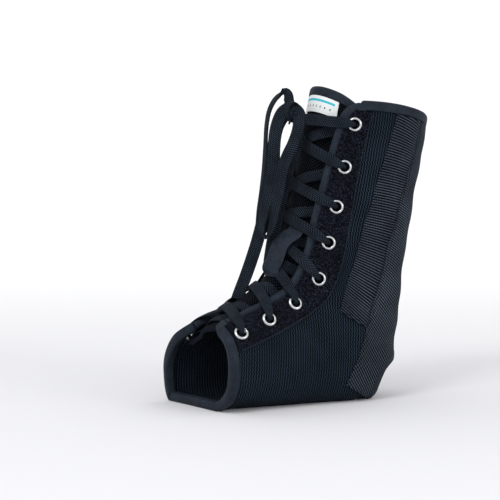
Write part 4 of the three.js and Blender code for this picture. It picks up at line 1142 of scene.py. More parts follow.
def folded(rings: Sequence[Array], profile: Sequence[Sequence[float]], along: Array, closed: bool = False) -> Surface:
    """A folded tape from the lines that the corners of its profile draw.

    Args:
        rings: One (n, 3) line for each corner.
        profile: The corners, each starting with its distance across.
        along: (n,) running lengths.
        closed: Whether the tape closes on itself.

    Returns:
        The tape.
    """
    across = np.array([corner[0] for corner in profile])[None]
    uv = np.stack(np.broadcast_arrays(across, along[:, None]), axis=-1)
    return tube(np.stack(rings, axis=1), uv, closed)


def below_collar(round_: Array, margin: float) -> Array:
    """The station a margin below the collar's edge."""
    return FORM.collar(round_) - margin / FORM.length_at(NEAR_COLLAR, round_)


@dataclass
class Sleeve:
    """The knitted body, open at both ends, down the front and at the heel."""

    eyelet_room: float = 4.3
    heel_room: float = 0.6

    def cells(self, middle: Array) -> Array:
        """Which cells lie outside the heel opening and every eyelet, from their middles.

        Args:
            middle: (rows, columns, 3) middles of the grid's cells.

        Returns:
            True where the cell stays.
        """
        inner = np.arange(middle.shape[1]) < middle.shape[1] // 2
        clear = np.where(inner, *(eyelet_clear(middle, sign, self.eyelet_room) for sign in (1, -1)))
        return clear & (outline_distance(middle[..., 1:], heel_outline()) > self.heel_room)

    def build(self, material: bpy.types.Material) -> bpy.types.Object:
        """The sleeve, its pattern running round the shaft and, lower down, along its length.

        Args:
            material: Its finish.

        Returns:
            The new object.
        """
        t, side, table = round_trip(100)
        edge = FORM.slot_edge(np.array([LAST]))
        top = side * lerp(edge, FORM.girth(np.full(side.shape, LAST), table), t)
        station = eased(230, 0.6) * FORM.collar(top)
        girth = FORM.girth(station, np.broadcast_to(table, station.shape))
        round_ = side * lerp(FORM.slot_edge(station), girth, t)
        face = FORM.offset(station, round_, 0.0)
        across = lerp(face[..., 1], np.abs(round_) + 5.0, smooth((station - 5.5) / 2.5))
        return layer(station, round_, (0.0, -BODY_WALL), (across, face[..., 2]), self.cells).build("body", material)


@dataclass
class SideLayers:
    """The facing and the stay pocket of one side."""

    side: Side
    facing_inset: float = 3.4
    toe_margin: float = 6.2
    collar_margin: float = 6.6
    eyelet_room: float = 4.05
    pocket_margin: float = 6.0
    rib_height: float = 0.35

    def facing_edge(self, station: Array, share: Array | float) -> Array:
        """Distance round across the facing: its near edge at share 0, its far edge at 1."""
        far = FORM.across_size(SLOT, station) + FORM.across_size(FACING, station)
        return lerp(FORM.slot_edge(station) + self.facing_inset, far, share)

    def stay_edge(self, station: Array, share: Array | float) -> Array:
        """Distance round across the stay pocket: its front edge at share 0, its rear edge at 1."""
        return lerp(FORM.across_size(STAY_FRONT, station), FORM.across_size(STAY_REAR, station) - 0.5, share)

    def facing(self, material: bpy.types.Material) -> bpy.types.Object:
        """The brushed facing beside the slot, which carries the eyelets.

        Args:
            material: Its finish.

        Returns:
            The new object.
        """
        t = np.linspace(0, 1, 35)[None]
        low = self.toe_margin / FORM.length_at(NEAR_TOE, self.facing_edge(np.array([0.0]), t))
        high = below_collar(self.facing_edge(np.array([LAST]), t), self.collar_margin)
        station = lerp(low, high, eased(330, 0.5))
        round_ = self.facing_edge(station, t)
        puff = SEAT_GAP + OVERLAY * np.minimum(1.0, 0.55 + 3.5 * np.minimum(t, 1 - t))
        sign = self.side.value
        surface = layer(station, sign * round_, (puff, SEAT_GAP), (round_, station * 26),
                        lambda middle: eyelet_clear(middle, sign, self.eyelet_room))
        return surface.build(f"facing_{self.side.label}", material)

    def stay_pocket(self, material: bpy.types.Material) -> bpy.types.Object:
        """The ribbed webbing band that holds the stay, its ribs modelled one by one.

        Args:
            material: Its finish.

        Returns:
            The new object.
        """
        t = np.linspace(0, 1, 27)[None]
        high = below_collar(self.stay_edge(np.array([LAST]), t), self.pocket_margin)
        station = lerp(lerp(*POCKET_FOOT, t), high, eased(560, 0.5))
        round_ = self.stay_edge(station, t)
        signed = self.side.value * round_
        middle = FORM.point(station[:, 13], signed[:, 13])
        along = running_length(middle)[:, None] + 0.2 * (round_ - self.stay_edge(station, 0.0))
        rib = self.rib_height * (0.5 + 0.5 * np.cos(2 * np.pi * along / Webbing.rib_mm))
        edge = np.minimum(1.0, 0.4 + 6 * np.minimum(t, 1 - t))
        surface = layer(station, signed, (SEAT_GAP + (OVERLAY - 0.2 + rib) * edge, SEAT_GAP), (round_, along))
        return surface.build(f"stay_pocket_{self.side.label}", material)


@dataclass
class RearPanel:
    """The knitted elastic behind the stay pockets, with a leg down each side of the heel."""

    collar_margin: float = 6.0
    heel_room: float = 3.2
    ground_room: float = 2.6

    def low(self, t: Array, side: Array) -> Array:
        """The lowest station of each column: above the slanting leg end and the ground.

        Args:
            t: (1, n) shares across the panel.
            side: (1, n) signs of X.

        Returns:
            (1, n) stations, where the clearance of the column's points turns positive.
        """
        station = np.linspace(3.3, 5.2, 191)[:, None] + 0 * t
        table = np.broadcast_to((side < 0).astype(int), station.shape)
        round_ = side * lerp(FORM.across_size(STAY_REAR, station), FORM.girth(station, table), t)
        points = FORM.point(station, round_)
        slant = points[..., 2] - (19.0 - (points[..., 1] - 27.0) * 21.6 / 39.6)
        clear = np.minimum(slant, points[..., 2] - self.ground_room)
        blocked = clear < 0
        last = np.where(blocked.any(axis=0), 190 - np.argmax(blocked[::-1], axis=0), 0)
        columns = np.arange(t.shape[1])
        a, b = clear[last, columns], clear[np.minimum(last + 1, 190), columns]
        share = np.where((a < 0) & (b > 0), -a / np.maximum(b - a, 1e-6), 0.0)
        return (station[last, columns] + share * 0.01)[None]

    def build(self, material: bpy.types.Material) -> bpy.types.Object:
        """The panel, in one piece from one stay pocket to the other.

        Args:
            material: Its finish.

        Returns:
            The new object.
        """
        t, side, table = round_trip(75)
        rear = FORM.across_size(STAY_REAR, np.array([LAST]))
        top = side * lerp(rear, FORM.girth(np.full(side.shape, LAST), table), t)
        station = lerp(self.low(t, side), below_collar(top, self.collar_margin), np.linspace(0, 1, 221)[:, None])
        girth = FORM.girth(station, np.broadcast_to(table, station.shape))
        round_ = side * lerp(FORM.across_size(STAY_REAR, station), girth, t)
        along = running_length(FORM.point(station[:, 0], round_[:, 0]))[:, None]
        edge = np.minimum(1.0, 0.5 + 12 * t)
        surface = layer(station, round_, (SEAT_GAP + OVERLAY * edge, SEAT_GAP), (np.abs(round_), along),
                        lambda middle: outline_distance(middle[..., 1:], heel_outline()) > self.heel_room)
        return surface.build("rear_panel", material)


@dataclass
class FoldedEdge:
    """A tape folded over an edge of the cloth.

    Attributes:
        station: Stations along the edge.
        round_: Distances round along it.
        width: Width of each leg of the tape.
        outer: Level of the cloth's outer face under the tape.
        inner: Level of its inner face.
        closed: Whether the edge closes on itself.
    """

    station: Array
    round_: Array
    width: float
    outer: float = 0.2
    inner: float = -2.4
    closed: bool = False

    def build(self, name: str, material: bpy.types.Material) -> bpy.types.Object:
        """The tape: each corner of its profile is a line some way in from the edge.

        Args:
            name: The tape's name.
            material: Its finish.

        Returns:
            The new object.
        """
        points = FORM.point(self.station, self.round_)
        side = unit(np.cross(FORM.normal(self.station, self.round_), tangents(points, self.closed)))
        o, i, w = self.outer, self.inner, self.width
        profile = [(w, o + 0.3), (w - 0.1, o + 0.95), (w - 0.7, o + 1.25), (w * 0.5, o + 1.3), (0.4, o + 1.3),
                   (-0.6, o + 1.05), (-1.15, o + 0.5), (-1.3, (o + i) / 2), (-1.15, i - 0.5), (-0.6, i - 1.05),
                   (0.4, i - 1.3), (w * 0.5, i - 1.3), (w - 0.7, i - 1.25), (w - 0.1, i - 0.95), (w, i - 0.3),
                   (w * 0.5, i - 0.3), (-0.4, i - 0.3), (-0.4, o + 0.3), (w * 0.5, o + 0.3)]
        rings = []
        for inward, level in profile:
            place = FORM.inward(self.station, self.round_, side, max(inward, 0.0))
            rings.append(FORM.offset(*place, level) + side * min(inward, 0.0))
        return folded(rings, profile, running_length(points), self.closed).build(name, material, 70.0)


@dataclass
class Bindings:
    """Every folded tape of the body."""

    gap: float = 1.3

    def corner(self, radius: float, at_collar: bool) -> tuple[Array, Array]:
        """Stations and distances round of a rounded corner on the inner side, slot first.

        Args:
            radius: The corner's radius.
            at_collar: Whether it is at the collar, not at the toe.

        Returns:
            Stations and distances round.
        """
        rest = radius * (1 - np.sin(np.linspace(0, np.pi / 2, 18)))[:-1]
        slot = FORM.across_size(SLOT, np.array([LAST if at_collar else 0.0]))
        if at_collar:
            station = FORM.collar(slot) - rest / FORM.length_at(NEAR_COLLAR, slot)
        else:
            station = rest / FORM.length_at(NEAR_TOE, slot)
        return station, FORM.slot_edge(station)

    def end(self, at_collar: bool) -> FoldedEdge:
        """The collar's or the toe's tape, round both corners.

        Args:
            at_collar: Whether it is at the collar, not at the toe.

        Returns:
            The tape.
        """
        radius, level = (COLLAR_CORNER, LAST) if at_collar else (TOE_CORNER, 0.0)
        station, round_ = self.corner(radius, at_collar)
        start = FORM.across_size(SLOT, np.array(level)) + radius
        half = [np.linspace(start, FORM.girth(np.array(level), k), 110) for k in (0, 1)]
        along = np.concatenate([half[0][:-1], -half[1][::-1]])
        edge = FORM.collar(along) if at_collar else np.zeros(len(along))
        stations = np.concatenate([station, edge, station[::-1]])
        rounds = np.concatenate([round_, along, -round_[::-1]])
        if at_collar:
            return FoldedEdge(stations[::-1], rounds[::-1], COLLAR_TAPE)
        return FoldedEdge(stations, rounds, END_TAPE, 0.6, -3.4)

    def slot(self, side: Side) -> FoldedEdge:
        """The tape down one slot edge, between the two corners.

        Args:
            side: The side of the slot.

        Returns:
            The tape.
        """
        low = (TOE_CORNER + self.gap) / FORM.length_at(NEAR_TOE, FORM.slot_edge(np.array([0.3])))[0]
        slot = FORM.across_size(SLOT, np.array([LAST]))
        high = (FORM.collar(slot) - (COLLAR_CORNER + self.gap) / FORM.length_at(NEAR_COLLAR, slot))[0]
        station = np.linspace(low, high, 220)
        round_ = side.value * FORM.slot_edge(station)
        if side is Side.INNER:
            station, round_ = station[::-1], round_[::-1]
        return FoldedEdge(station, round_, SLOT_TAPE)

    def heel(self) -> FoldedEdge:
        """The closed tape round the heel opening, found by halving on rays from its middle.

        Returns:
            The tape.
        """
        turn = np.linspace(0, 2 * np.pi, 240, endpoint=False)
        along, across = -np.cos(turn) * 2.2, np.sin(turn) * 70.0
        side = np.where(across >= 0, 1.0, -1.0)

        def place(reach: Array) -> tuple[Array, Array]:
            """Station and distance round at a share of each ray."""
            station = 4.95 + along * reach
            return station, side * (FORM.girth(station, (side < 0).astype(int)) - np.abs(across) * reach)

        low, high, outline = np.zeros(240), np.ones(240), heel_outline()
        for _ in range(22):
            reach = (low + high) / 2
            inside = outline_distance(FORM.point(*place(reach))[..., 1:], outline) < 0
            low, high = np.where(inside, reach, low), np.where(inside, high, reach)
        return FoldedEdge(*place(low), END_TAPE, 0.6, -4.1, True)


def tongue_level(station: Array, round_: Array) -> Array:
    """Level of the tongue's outer face: deeper under the facings than in the slot.

    Args:
        station: Stations.
        round_: Distances round.

    Returns:
        Heights over the body's outer face, most of them negative.
    """
    shallow = -(BODY_WALL + SEAT_GAP + TAPE)
    st = np.minimum(station, LAST)
    share = np.abs(round_) / FORM.across_size(SLOT, st)
    puff = TONGUE_PUFF * (1 - smooth(share / 0.9)) * smooth((st - 1.2) / 0.8)
    return lerp(shallow, shallow - 3.0, smooth((share - 0.4) / 0.4)) - 2.1 * (1 - smooth((st - 0.9) / 0.6)) + puff


def tongue_top(share: Array, drop: float = 0.0) -> Array:
    """Stations of the tongue's top edge, highest at the middle, or a drop below it."""
    return LAST + (TONGUE_RISE * (1 - 1.5 * share**2) - drop) / FORM.length_at(NEAR_COLLAR, np.array(0.0))


@dataclass
class Tongue:
    """The padded tongue with its top tape, label and lace keeper."""

    fill: float = 0.6
    label_span: tuple[float, float] = (-13.0, 27.0)
    label_drop: float = 5.5
    keeper_width: float = 13.0
    keeper_turn: float = 42.0

    def build(self, knit: bpy.types.Material) -> bpy.types.Object:
        """The tongue itself, thinner at both edges.

        Args:
            knit: Its finish.

        Returns:
            The new object.
        """
        share = np.linspace(-1, 1, 81)[None]
        station = lerp(0.35, tongue_top(share), np.linspace(0, 1, 241)[:, None])
        round_ = share * (FORM.across_size(SLOT, np.minimum(station, LAST)) + TONGUE_OVERLAP)
        level = tongue_level(station, round_)
        thin = 1 - 0.6 * smooth((np.abs(share) - 0.85) / 0.15)
        along = running_length(FORM.offset(station[:, 40], round_[:, 40], level[:, 40]))[:, None]
        obj = layer(station, round_, (level, level - TONGUE_THICKNESS * thin), (round_, along)).build("tongue", knit)
        return obj

    def binding(self, tape: bpy.types.Material) -> bpy.types.Object:
        """Tape folded over the tongue's top edge: profile corners are drop, face and level.

        Args:
            tape: Its finish.

        Returns:
            The new object.
        """
        share = np.linspace(-1, 1, 90)
        round_ = share * (FORM.across_size(SLOT, np.array(LAST)) + TONGUE_OVERLAP)
        face = tongue_level(tongue_top(share), round_)
        profile = [(5.0, 0, 0.3), (4.8, 0, 1.1), (2.5, 0, 1.3), (0.0, 0, 1.25), (-1.0, 0, 0.7), (-1.3, 0, -0.4),
                   (-1.3, 1, 0.4), (-1.0, 1, -0.7), (0.0, 1, -1.25), (2.5, 1, -1.3), (4.8, 1, -1.1), (5.0, 1, -0.3),
                   (-0.3, 1, -0.3), (-0.3, 0, 0.3)]
        rings = [FORM.offset(tongue_top(share, drop), round_, face - TONGUE_THICKNESS * back + level)
                 for drop, back, level in profile]
        return folded(rings, profile, running_length(rings[0])).build("tongue_binding", tape, 70.0)

    def label(self, material: bpy.types.Material) -> bpy.types.Object:
        """The plain woven label under the top tape.

        Args:
            material: Its finish.

        Returns:
            The new object.
        """
        round_ = np.linspace(*self.label_span, 60)[None]
        v = np.linspace(0, LABEL_HEIGHT, 24)[:, None]
        top = tongue_top(round_ / (FORM.across_size(SLOT, np.array(LAST)) + TONGUE_OVERLAP), self.label_drop)
        station = top - (LABEL_HEIGHT - v) / FORM.length_at(NEAR_COLLAR, np.array(0.0))
        round_ = round_ + 0 * v
        seat = tongue_level(station, round_) + 0.6
        return layer(station, round_, (seat + 0.4, seat), (round_, v)).build("tongue_label", material)

    def keeper(self, satin: bpy.types.Material) -> bpy.types.Object:
        """The satin loop, sewn down at both ends and standing off the tongue between.

        Args:
            satin: Its finish.

        Returns:
            The new object.
        """
        route = np.array([[7.8, 15, 1], [7.5, 14.5, 2.4], [7.2, 13.5, 3.4], [6.85, 11.5, 6], [6.2, 9.5, 7.4],
                          [5.4, 9, 7.3], [4.6, 9, 6.9], [4.05, 8.5, 6.4], [3.82, 8, 5.0], [3.68, 8, 3.2],
                          [3.58, 8, 1.4], [3.5, 8, 0.4]])
        station, round_, height = route.T
        points = FORM.offset(station, round_, tongue_level(station, round_) + 0.8 + height)
        flat, turn = FORM.normal(station, round_), math.radians(self.keeper_turn)
        turned = unit(np.cross([math.cos(turn), math.sin(turn), 0.0], tangents(points)))
        turned *= np.sign((turned * flat).sum(-1, keepdims=True))
        flat = unit(lerp(flat, turned, smooth((height[:, None] - 1.5) / 4.0)))
        strand = Strand(points, flat, np.full(len(route), self.keeper_width), np.full(len(route), 1.0))
        return strand.surface(1.0, 18).build("tongue_keeper", satin, 60.0)


@dataclass
class Strand:
    """Control rows of a flat lace.

    Attributes:
        points: (n, 3) centre line.
        flat: (n, 3) direction of the flat side.
        width: (n,) widths.
        thickness: (n,) thicknesses.
    """

    points: Array
    flat: Array
    width: Array
    thickness: Array

    def surface(self, step: float, around: int = 14) -> Surface:
        """The lace as a solid along a smooth run through its rows.

        Args:
            step: Distance from one section to the next.
            around: Points round a section.

        Returns:
            The solid.
        """
        side = unit(np.cross(tangents(self.points), self.flat))
        for k in range(1, len(side)):
            if side[k] @ side[k - 1] < 0:
                side[k] = -side[k]
        rows = smooth_run(np.column_stack([self.points, side, self.width, self.thickness]), step)
        tangent = tangents(rows[:, :3])
        side = rows[:, 3:6] - tangent * (rows[:, 3:6] * tangent).sum(-1, keepdims=True)
        return sweep_ribbon(rows[:, :3], np.cross(unit(side), tangent), rows[:, 6], rows[:, 7], around)


def between(a: Place, b: Place, share: float) -> Place:
    """The place at a share of the straight way from one place to another."""
    return lerp(a[0], b[0], share), lerp(a[1], b[1], share)


def eyelet_place(number: int, side: int) -> Place:
    """Station and distance round of an eyelet."""
    return float(EYELETS[number, 0]), float(side * EYELET_ROUND[number])


@dataclass
class Lacing:
    """The lace as the eyelets hold it: criss-cross strands, the toe bar and the ties to the bow.

    Attributes:
        over: Level of the lace on the facing.
        under: Level under the flap.
        bar_under: The toe bar's level under the flap.
        below: Level of the lower strands at the middle of the slot.
        on_top: Level of the upper strands there.
        flange: Level over an eyelet's flange.
        drawn: Share of the lace's width that is drawn.
    """

    over: float = SEAT_GAP + OVERLAY + 0.4 + LACE_THICKNESS / 2
    under: float = -5.1
    bar_under: float = -5.8
    below: float = -0.7
    on_top: float = 0.8
    flange: float = 2.95
    drawn: float = 0.88

    def spot(self, place: Place, level: float, flat: Array | None = None, width: float = LACE_WIDTH,
             thickness: float = LACE_THICKNESS) -> Array:
        """One control row of the lace.

        Args:
            place: Station and distance round.
            level: Height over the body's outer face.
            flat: Direction of the flat side, away from the cloth by default.
            width: Width there.
            thickness: Thickness there.

        Returns:
            Point, flat side, width and thickness.
        """
        facing = FORM.normal(*place) if flat is None else flat
        return np.concatenate([FORM.offset(*place, level), facing, [width, thickness]])

    def frame(self, a: Place, b: Place) -> tuple[Array, Array]:
        """The outward direction at a place, and the one along the cloth towards another.

        Args:
            a: The place.
            b: The other place.

        Returns:
            Both unit directions.
        """
        way = FORM.point(*b) - FORM.point(*a)
        normal = FORM.normal(*a)
        return normal, unit(way - normal * (way @ normal))

    def shifted(self, a: Place, b: Place, distance: float) -> Place:
        """The place some millimetres from one place towards another."""
        return between(a, b, distance / np.linalg.norm(FORM.point(*b) - FORM.point(*a)))

    def out_of(self, a: Place, b: Place) -> list[Array]:
        """Rows up out of eyelet a and over its flange towards b, spreading to full width.

        Args:
            a: The eyelet.
            b: Where the strand goes.

        Returns:
            Control rows of the lace.
        """
        normal, toward = self.frame(a, b)
        return [self.spot(a, 0.0, -toward, 3.4, 1.8),
                self.spot(self.shifted(a, b, 0.2), self.flange + 0.2, unit(normal - toward), 3.4, 1.8),
                self.spot(self.shifted(a, b, 3.4), self.flange + 0.8, normal, 6.75, 1.7),
                self.spot(self.shifted(a, b, 8.0), self.over - 0.2, normal)]

    def into(self, a: Place, b: Place, depth: float) -> list[Array]:
        """Rows from under the flap, on the side of b, up to eyelet a.

        Args:
            a: The eyelet.
            b: Where the strand comes from.
            depth: Its level under the flap.

        Returns:
            Control rows of the lace.
        """
        normal, toward = self.frame(a, b)
        return [self.spot(self.shifted(a, b, 7.0), depth, normal, 8.1, 1.4),
                self.spot(self.shifted(a, b, 3.0), depth, normal, 5.4, 1.68),
                self.spot(self.shifted(a, b, 0.3), self.under + 1.6, unit(normal + toward), 3.4, 1.44)]

    def crossing(self, number: int, side: int) -> list[Array]:
        """One strand over the slot and under the other flap.

        Args:
            number: The eyelet that it leaves, from the toe.
            side: The sign of X there.

        Returns:
            Its rows.
        """
        a, b = eyelet_place(number, side), eyelet_place(number + 1, -side)
        share = np.linspace(0, 1, 401)
        station, round_ = between(a, b, share)
        slot = FORM.across_size(SLOT, station)
        first, last = share[np.argmax(side * round_ < slot)], share[np.argmax(-side * round_ > slot)]
        middle = self.on_top if side > 0 else self.below
        held = [(first, self.over - 0.3), (lerp(first, 0.5, 0.6), middle + 0.2), (0.5, middle),
                (lerp(0.5, last, 0.5), lerp(middle, self.below, 0.6)), (lerp(0.5, last, 0.8), self.under + 0.1),
                (last, self.under)]
        return [*self.out_of(a, b), *(self.spot(between(a, b, s), level) for s, level in held),
                *self.into(b, a, self.under)]

    def half(self, side: int) -> list[Array]:
        """Rows from the toe eyelet of one side up to the knot.

        Args:
            side: The sign of X at the toe.

        Returns:
            Control rows of the lace.
        """
        strand: list[Array] = []
        for number in range(7):
            strand += self.crossing(number, side)
            side = -side
        top, near = eyelet_place(7, side), (LAST - 0.45 - 0.05 * side, side * 11.7)
        strand += self.out_of(top, near)
        strand += [self.spot(between(top, near, s), self.over + rise) for s, rise in ((0.4, 0), (0.7, 1), (1.0, 4.5))]
        tie = [7.0, 9.0, 202.5] if side > 0 else [-7.3, 10.5, 200.0]
        return [*strand, np.array([*tie, 0, -1, 0, 5.4, LACE_THICKNESS])]

    def bar(self) -> list[Array]:
        """Rows of the short bar under both flaps at the toe.

        Returns:
            Control rows of the lace.
        """
        near, far = eyelet_place(0, 1), eyelet_place(0, -1)
        strand = self.into(near, far, self.bar_under)[::-1]
        for share in (0.24, 0.32, 0.4, 0.5, 0.6, 0.68, 0.76):
            station, round_ = between(near, far, share)
            level = float(tongue_level(near[0], round_)) + TONGUE_PUFF
            strand.append(self.spot((station + 0.2 * math.sin(math.pi * share), round_), level))
        return strand + self.into(far, near, self.bar_under)

    def build(self, material: bpy.types.Material) -> bpy.types.Object:
        """The whole held lace in one run.

        Args:
            material: Its finish.

        Returns:
            The new object.
        """
        rows = np.array([*self.half(1)[::-1], *self.bar(), *self.half(-1)])
        strand = Strand(rows[:, :3], rows[:, 3:6], rows[:, 6] * self.drawn, rows[:, 7])
        return strand.surface(1.3).build("lace_held", material, 60.0)


@dataclass
class Bow:
    """The knot, the two loops and the two loose ends: free lengths of the flat lace."""

    routes: dict[str, list[list[float]]] = field(default_factory=lambda: {
        "bow_loop_outer": [[-7.5, 10.5, 212.7, 20], [-11, 11, 218.2, 15], [-17.3, 9.9, 220.5, 5],
                           [-21.2, 5.8, 216.7, 0], [-23.6, 2.1, 208.7, -5], [-24.8, 0.3, 197.9, -8],
                           [-24.4, -0.9, 182, -8], [-23.9, -2.2, 165.4, -5], [-23.6, -4, 149.5, 0],
                           [-22.5, -6.1, 133.7, 10], [-19.9, -6.9, 122.2, 20], [-16.2, -5.8, 125.2, 24],
                           [-15, -3.9, 137.5, 20], [-14.3, -1.9, 158.3, 40], [-14.4, 1, 179.9, 50],
                           [-12.3, 3.2, 198.5, 50], [-7.8, 7.1, 208.4, 50]],
        "bow_loop_inner": [[0.8, 8.9, 210.4, 40], [7.6, 10.8, 205.3, 40], [11.6, 8.5, 196, 45],
                           [12.6, 4.5, 185.5, 45], [11.1, 0.1, 175.6, 45], [10, -3.6, 165.1, 45],
                           [9, -5.1, 153.8, 40], [8.5, -8, 139.7, 30], [9.1, -11, 126.4, 10],
                           [6.9, -14.1, 119.3, 0], [2.6, -15.6, 123.4, 0], [1.6, -13.4, 136.1, 20],
                           [2.4, -9.5, 153, 40], [1.7, -6.4, 168.5, 50], [1.2, -5.7, 182, 58],
                           [-1.6, -2.5, 196.1, 60], [-3.9, 3.3, 206.9, 60], [-4, 8.4, 211.2, 50]],
        "lace_end_long": [[-5.6, 6.8, 206.9, 50], [-8.6, 1.5, 196.3, 60], [-9, -1.5, 181.3, 64],
                           [-9, -3.5, 167, 64], [-9.1, -5.8, 151.3, 64], [-8.5, -9.5, 133, 64],
                           [-6.7, -15.2, 115.3, 64], [-6.1, -20.5, 101.1, 60], [-4.5, -25.5, 90.2, 56],
                           [-2.7, -29.9, 82, 52], [-1.7, -33.3, 74.8, 50]],
        "lace_end_short": [[3.2, 12.9, 204, 50], [5.5, 11.4, 191.2, 45], [5.8, 7.7, 177, 45],
                           [4.7, 3.5, 164.3, 45], [3.1, 0.8, 151.5, 45], [2.5, -2.1, 138.7, 45],
                           [3, -5.1, 126, 45], [2.6, -7.7, 114.7, 45], [2.4, -9.6, 103.4, 45],
                           [2.4, -10.5, 96.3, 45]]})

    def build(self, material: bpy.types.Material) -> list[bpy.types.Object]:
        """The four free lengths of lace, each swept along a smooth run.

        Args:
            material: Its finish.

        Returns:
            The new objects.
        """
        made = []
        for name, rows in self.routes.items():
            run = smooth_run(np.array(rows, float), 1.2)
            heading = np.radians(run[:, 3])
            side = np.stack([np.cos(heading), np.sin(heading), 0 * heading], -1)
            surface = sweep_ribbon(run[:, :3], np.cross(side, tangents(run[:, :3])), np.full(len(run), LACE_WIDTH),
                                   np.full(len(run), LACE_THICKNESS))
            obj = surface.build(name, material, 60.0)
            far_end = "object" if "loop" in name else "bare"
            length = float(running_length(run[:, :3])[-1] * MM)
            made.append(obj)
        return made

    def knot(self, material: bpy.types.Material) -> bpy.types.Object:
        """The knot: a firm core with three turns of lace wrapped round it.

        Args:
            material: Its finish.

        Returns:
            The new object.
        """
        centre = np.array([0.0, 9.0, 207.0])
        lat = np.linspace(0.05, np.pi - 0.05, 20)[:, None]
        turn = np.linspace(0, 2 * np.pi, 32, endpoint=False)[None]
        core = np.stack([np.sin(lat) * np.cos(turn) * 5.2, np.sin(lat) * np.sin(turn) * 3.6,
                         np.cos(lat) * 6.2 + 0 * turn], -1) + centre
        surface = tube(core, core[..., :2] * 1.0)
        a = np.linspace(0, 2 * np.pi, 72, endpoint=False)
        for tilt, width, grow, lift in ((0.15, 8.0, 1.0, 0.0), (-0.75, 6.5, 0.88, 2.0), (0.9, 6.0, 0.84, -2.5)):
            ring = np.stack([0 * a, 4.3 * np.cos(a), 6.9 * np.sin(a)], -1) * grow
            c, s = math.cos(tilt), math.sin(tilt)
            ring = ring @ np.array([[c, 0, s], [0, 1, 0], [-s, 0, c]]).T
            surface = surface.joined(sweep_ribbon(ring + centre + [lift * 0.4, 0, lift * 0.2], ring,
                                                  np.full(72, width), np.full(72, 1.3), 14, 0.6, True))
        return surface.build("bow_knot", material, 60.0)


@dataclass
class EyeletRow:
    """The eight set eyelets of one side."""

    side: Side

    def build(self, metal: bpy.types.Material) -> list[bpy.types.Object]:
        """Each eyelet is a barrel with a rolled flange outside and a washer inside.

        Args:
            metal: Its finish.

        Returns:
            The new objects.
        """
        profile = np.array([[EYELET_HOLE, -2.6], [EYELET_HOLE, 1.9], [3.28, 2.3], [3.55, 2.6], [3.95, 2.7],
                            [4.4, 2.55], [4.8, 2.2], [EYELET_FLANGE, 1.85], [4.9, 1.7], [3.9, 1.7], [3.8, 1.6],
                            [3.8, -2.25], [5.3, -2.3], [5.35, -2.5],
                            [3.8, -2.75]])
        turn = np.linspace(0, 2 * np.pi, 48, endpoint=False)[:, None, None]
        made = []
        for number in range(8):
            place = eyelet_place(number, self.side.value)
            up = FORM.normal(*place)
            a = unit(np.cross(up, [0.0, 0.0, 1.0]))
            b = np.cross(up, a)
            rings = (FORM.offset(*place, 0.0) + profile[None, :, :1] * (np.cos(turn) * a + np.sin(turn) * b)
                     + profile[None, :, 1:] * up)
            uv = rings[..., :2] * 1.0
            made.append(tube(rings, uv, True).build(f"eyelet_{self.side.label}_{number + 1}", metal, 40.0))
        return made


@dataclass
class Seams:
    """Sewn lines: the facing's rear seam, the stay pocket, the rear panel's leg and the tapes."""

    side: Side

    def line(self, station: Array, round_: Array, level: float, **size: float) -> Surface:
        """One run of stitches on the cloth.

        Args:
            station: Stations along it.
            round_: Distances round, without the side's sign.
            level: Height over the body's outer face.
            size: Pitch, length and thickness of the stitches.

        Returns:
            The stitches.
        """
        signed = self.side.value * round_
        return stitches(FORM.offset(station, signed, level), FORM.normal(station, signed), **size)

    def build(self, thread: bpy.types.Material) -> bpy.types.Object:
        """All the stitches of one side as one piece.

        Args:
            thread: Its finish.

        Returns:
            The new object.
        """
        st = np.linspace(0.45, 10.8, 500)
        seam = FORM.across_size(SLOT, st) + FORM.across_size(FACING, st)
        parts = [self.line(st, seam + 0.1, 1.0, pitch=2.0, length=2.3, thick=1.0)]
        up = np.linspace(5.2, 10.75, 400)
        front, rear = FORM.across_size(STAY_FRONT, up), FORM.across_size(STAY_REAR, up)
        parts.append(self.line(up, front + 1.2, 1.75))
        parts.append(self.line(up[20:], rear[20:] - 1.8, 1.75))
        parts.append(self.line(up, rear + 1.3, 1.6))
        tape = np.linspace(0.75, 10.45, 480)
        parts.append(self.line(tape, FORM.slot_edge(tape) + 3.3, 1.75, pitch=1.9, length=1.8, thick=0.5))
        share = np.linspace(0.04, 0.95, 60)
        for lift in (0.05, 0.11):
            low = lerp(*POCKET_FOOT, share) + lift
            foot = lerp(FORM.across_size(STAY_FRONT, low), FORM.across_size(STAY_REAR, low), share)
            parts.append(self.line(low, foot, 1.8))
        low_seam = np.linspace(4.25, 5.3, 60)
        parts.append(self.line(low_seam, FORM.across_size(STAY_REAR, low_seam) + 1.2, 1.6))
        whole = parts[0]
        for part in parts[1:]:
            whole = whole.joined(part)
        return whole.build(f"stitching_{self.side.label}", thread, 80.0)


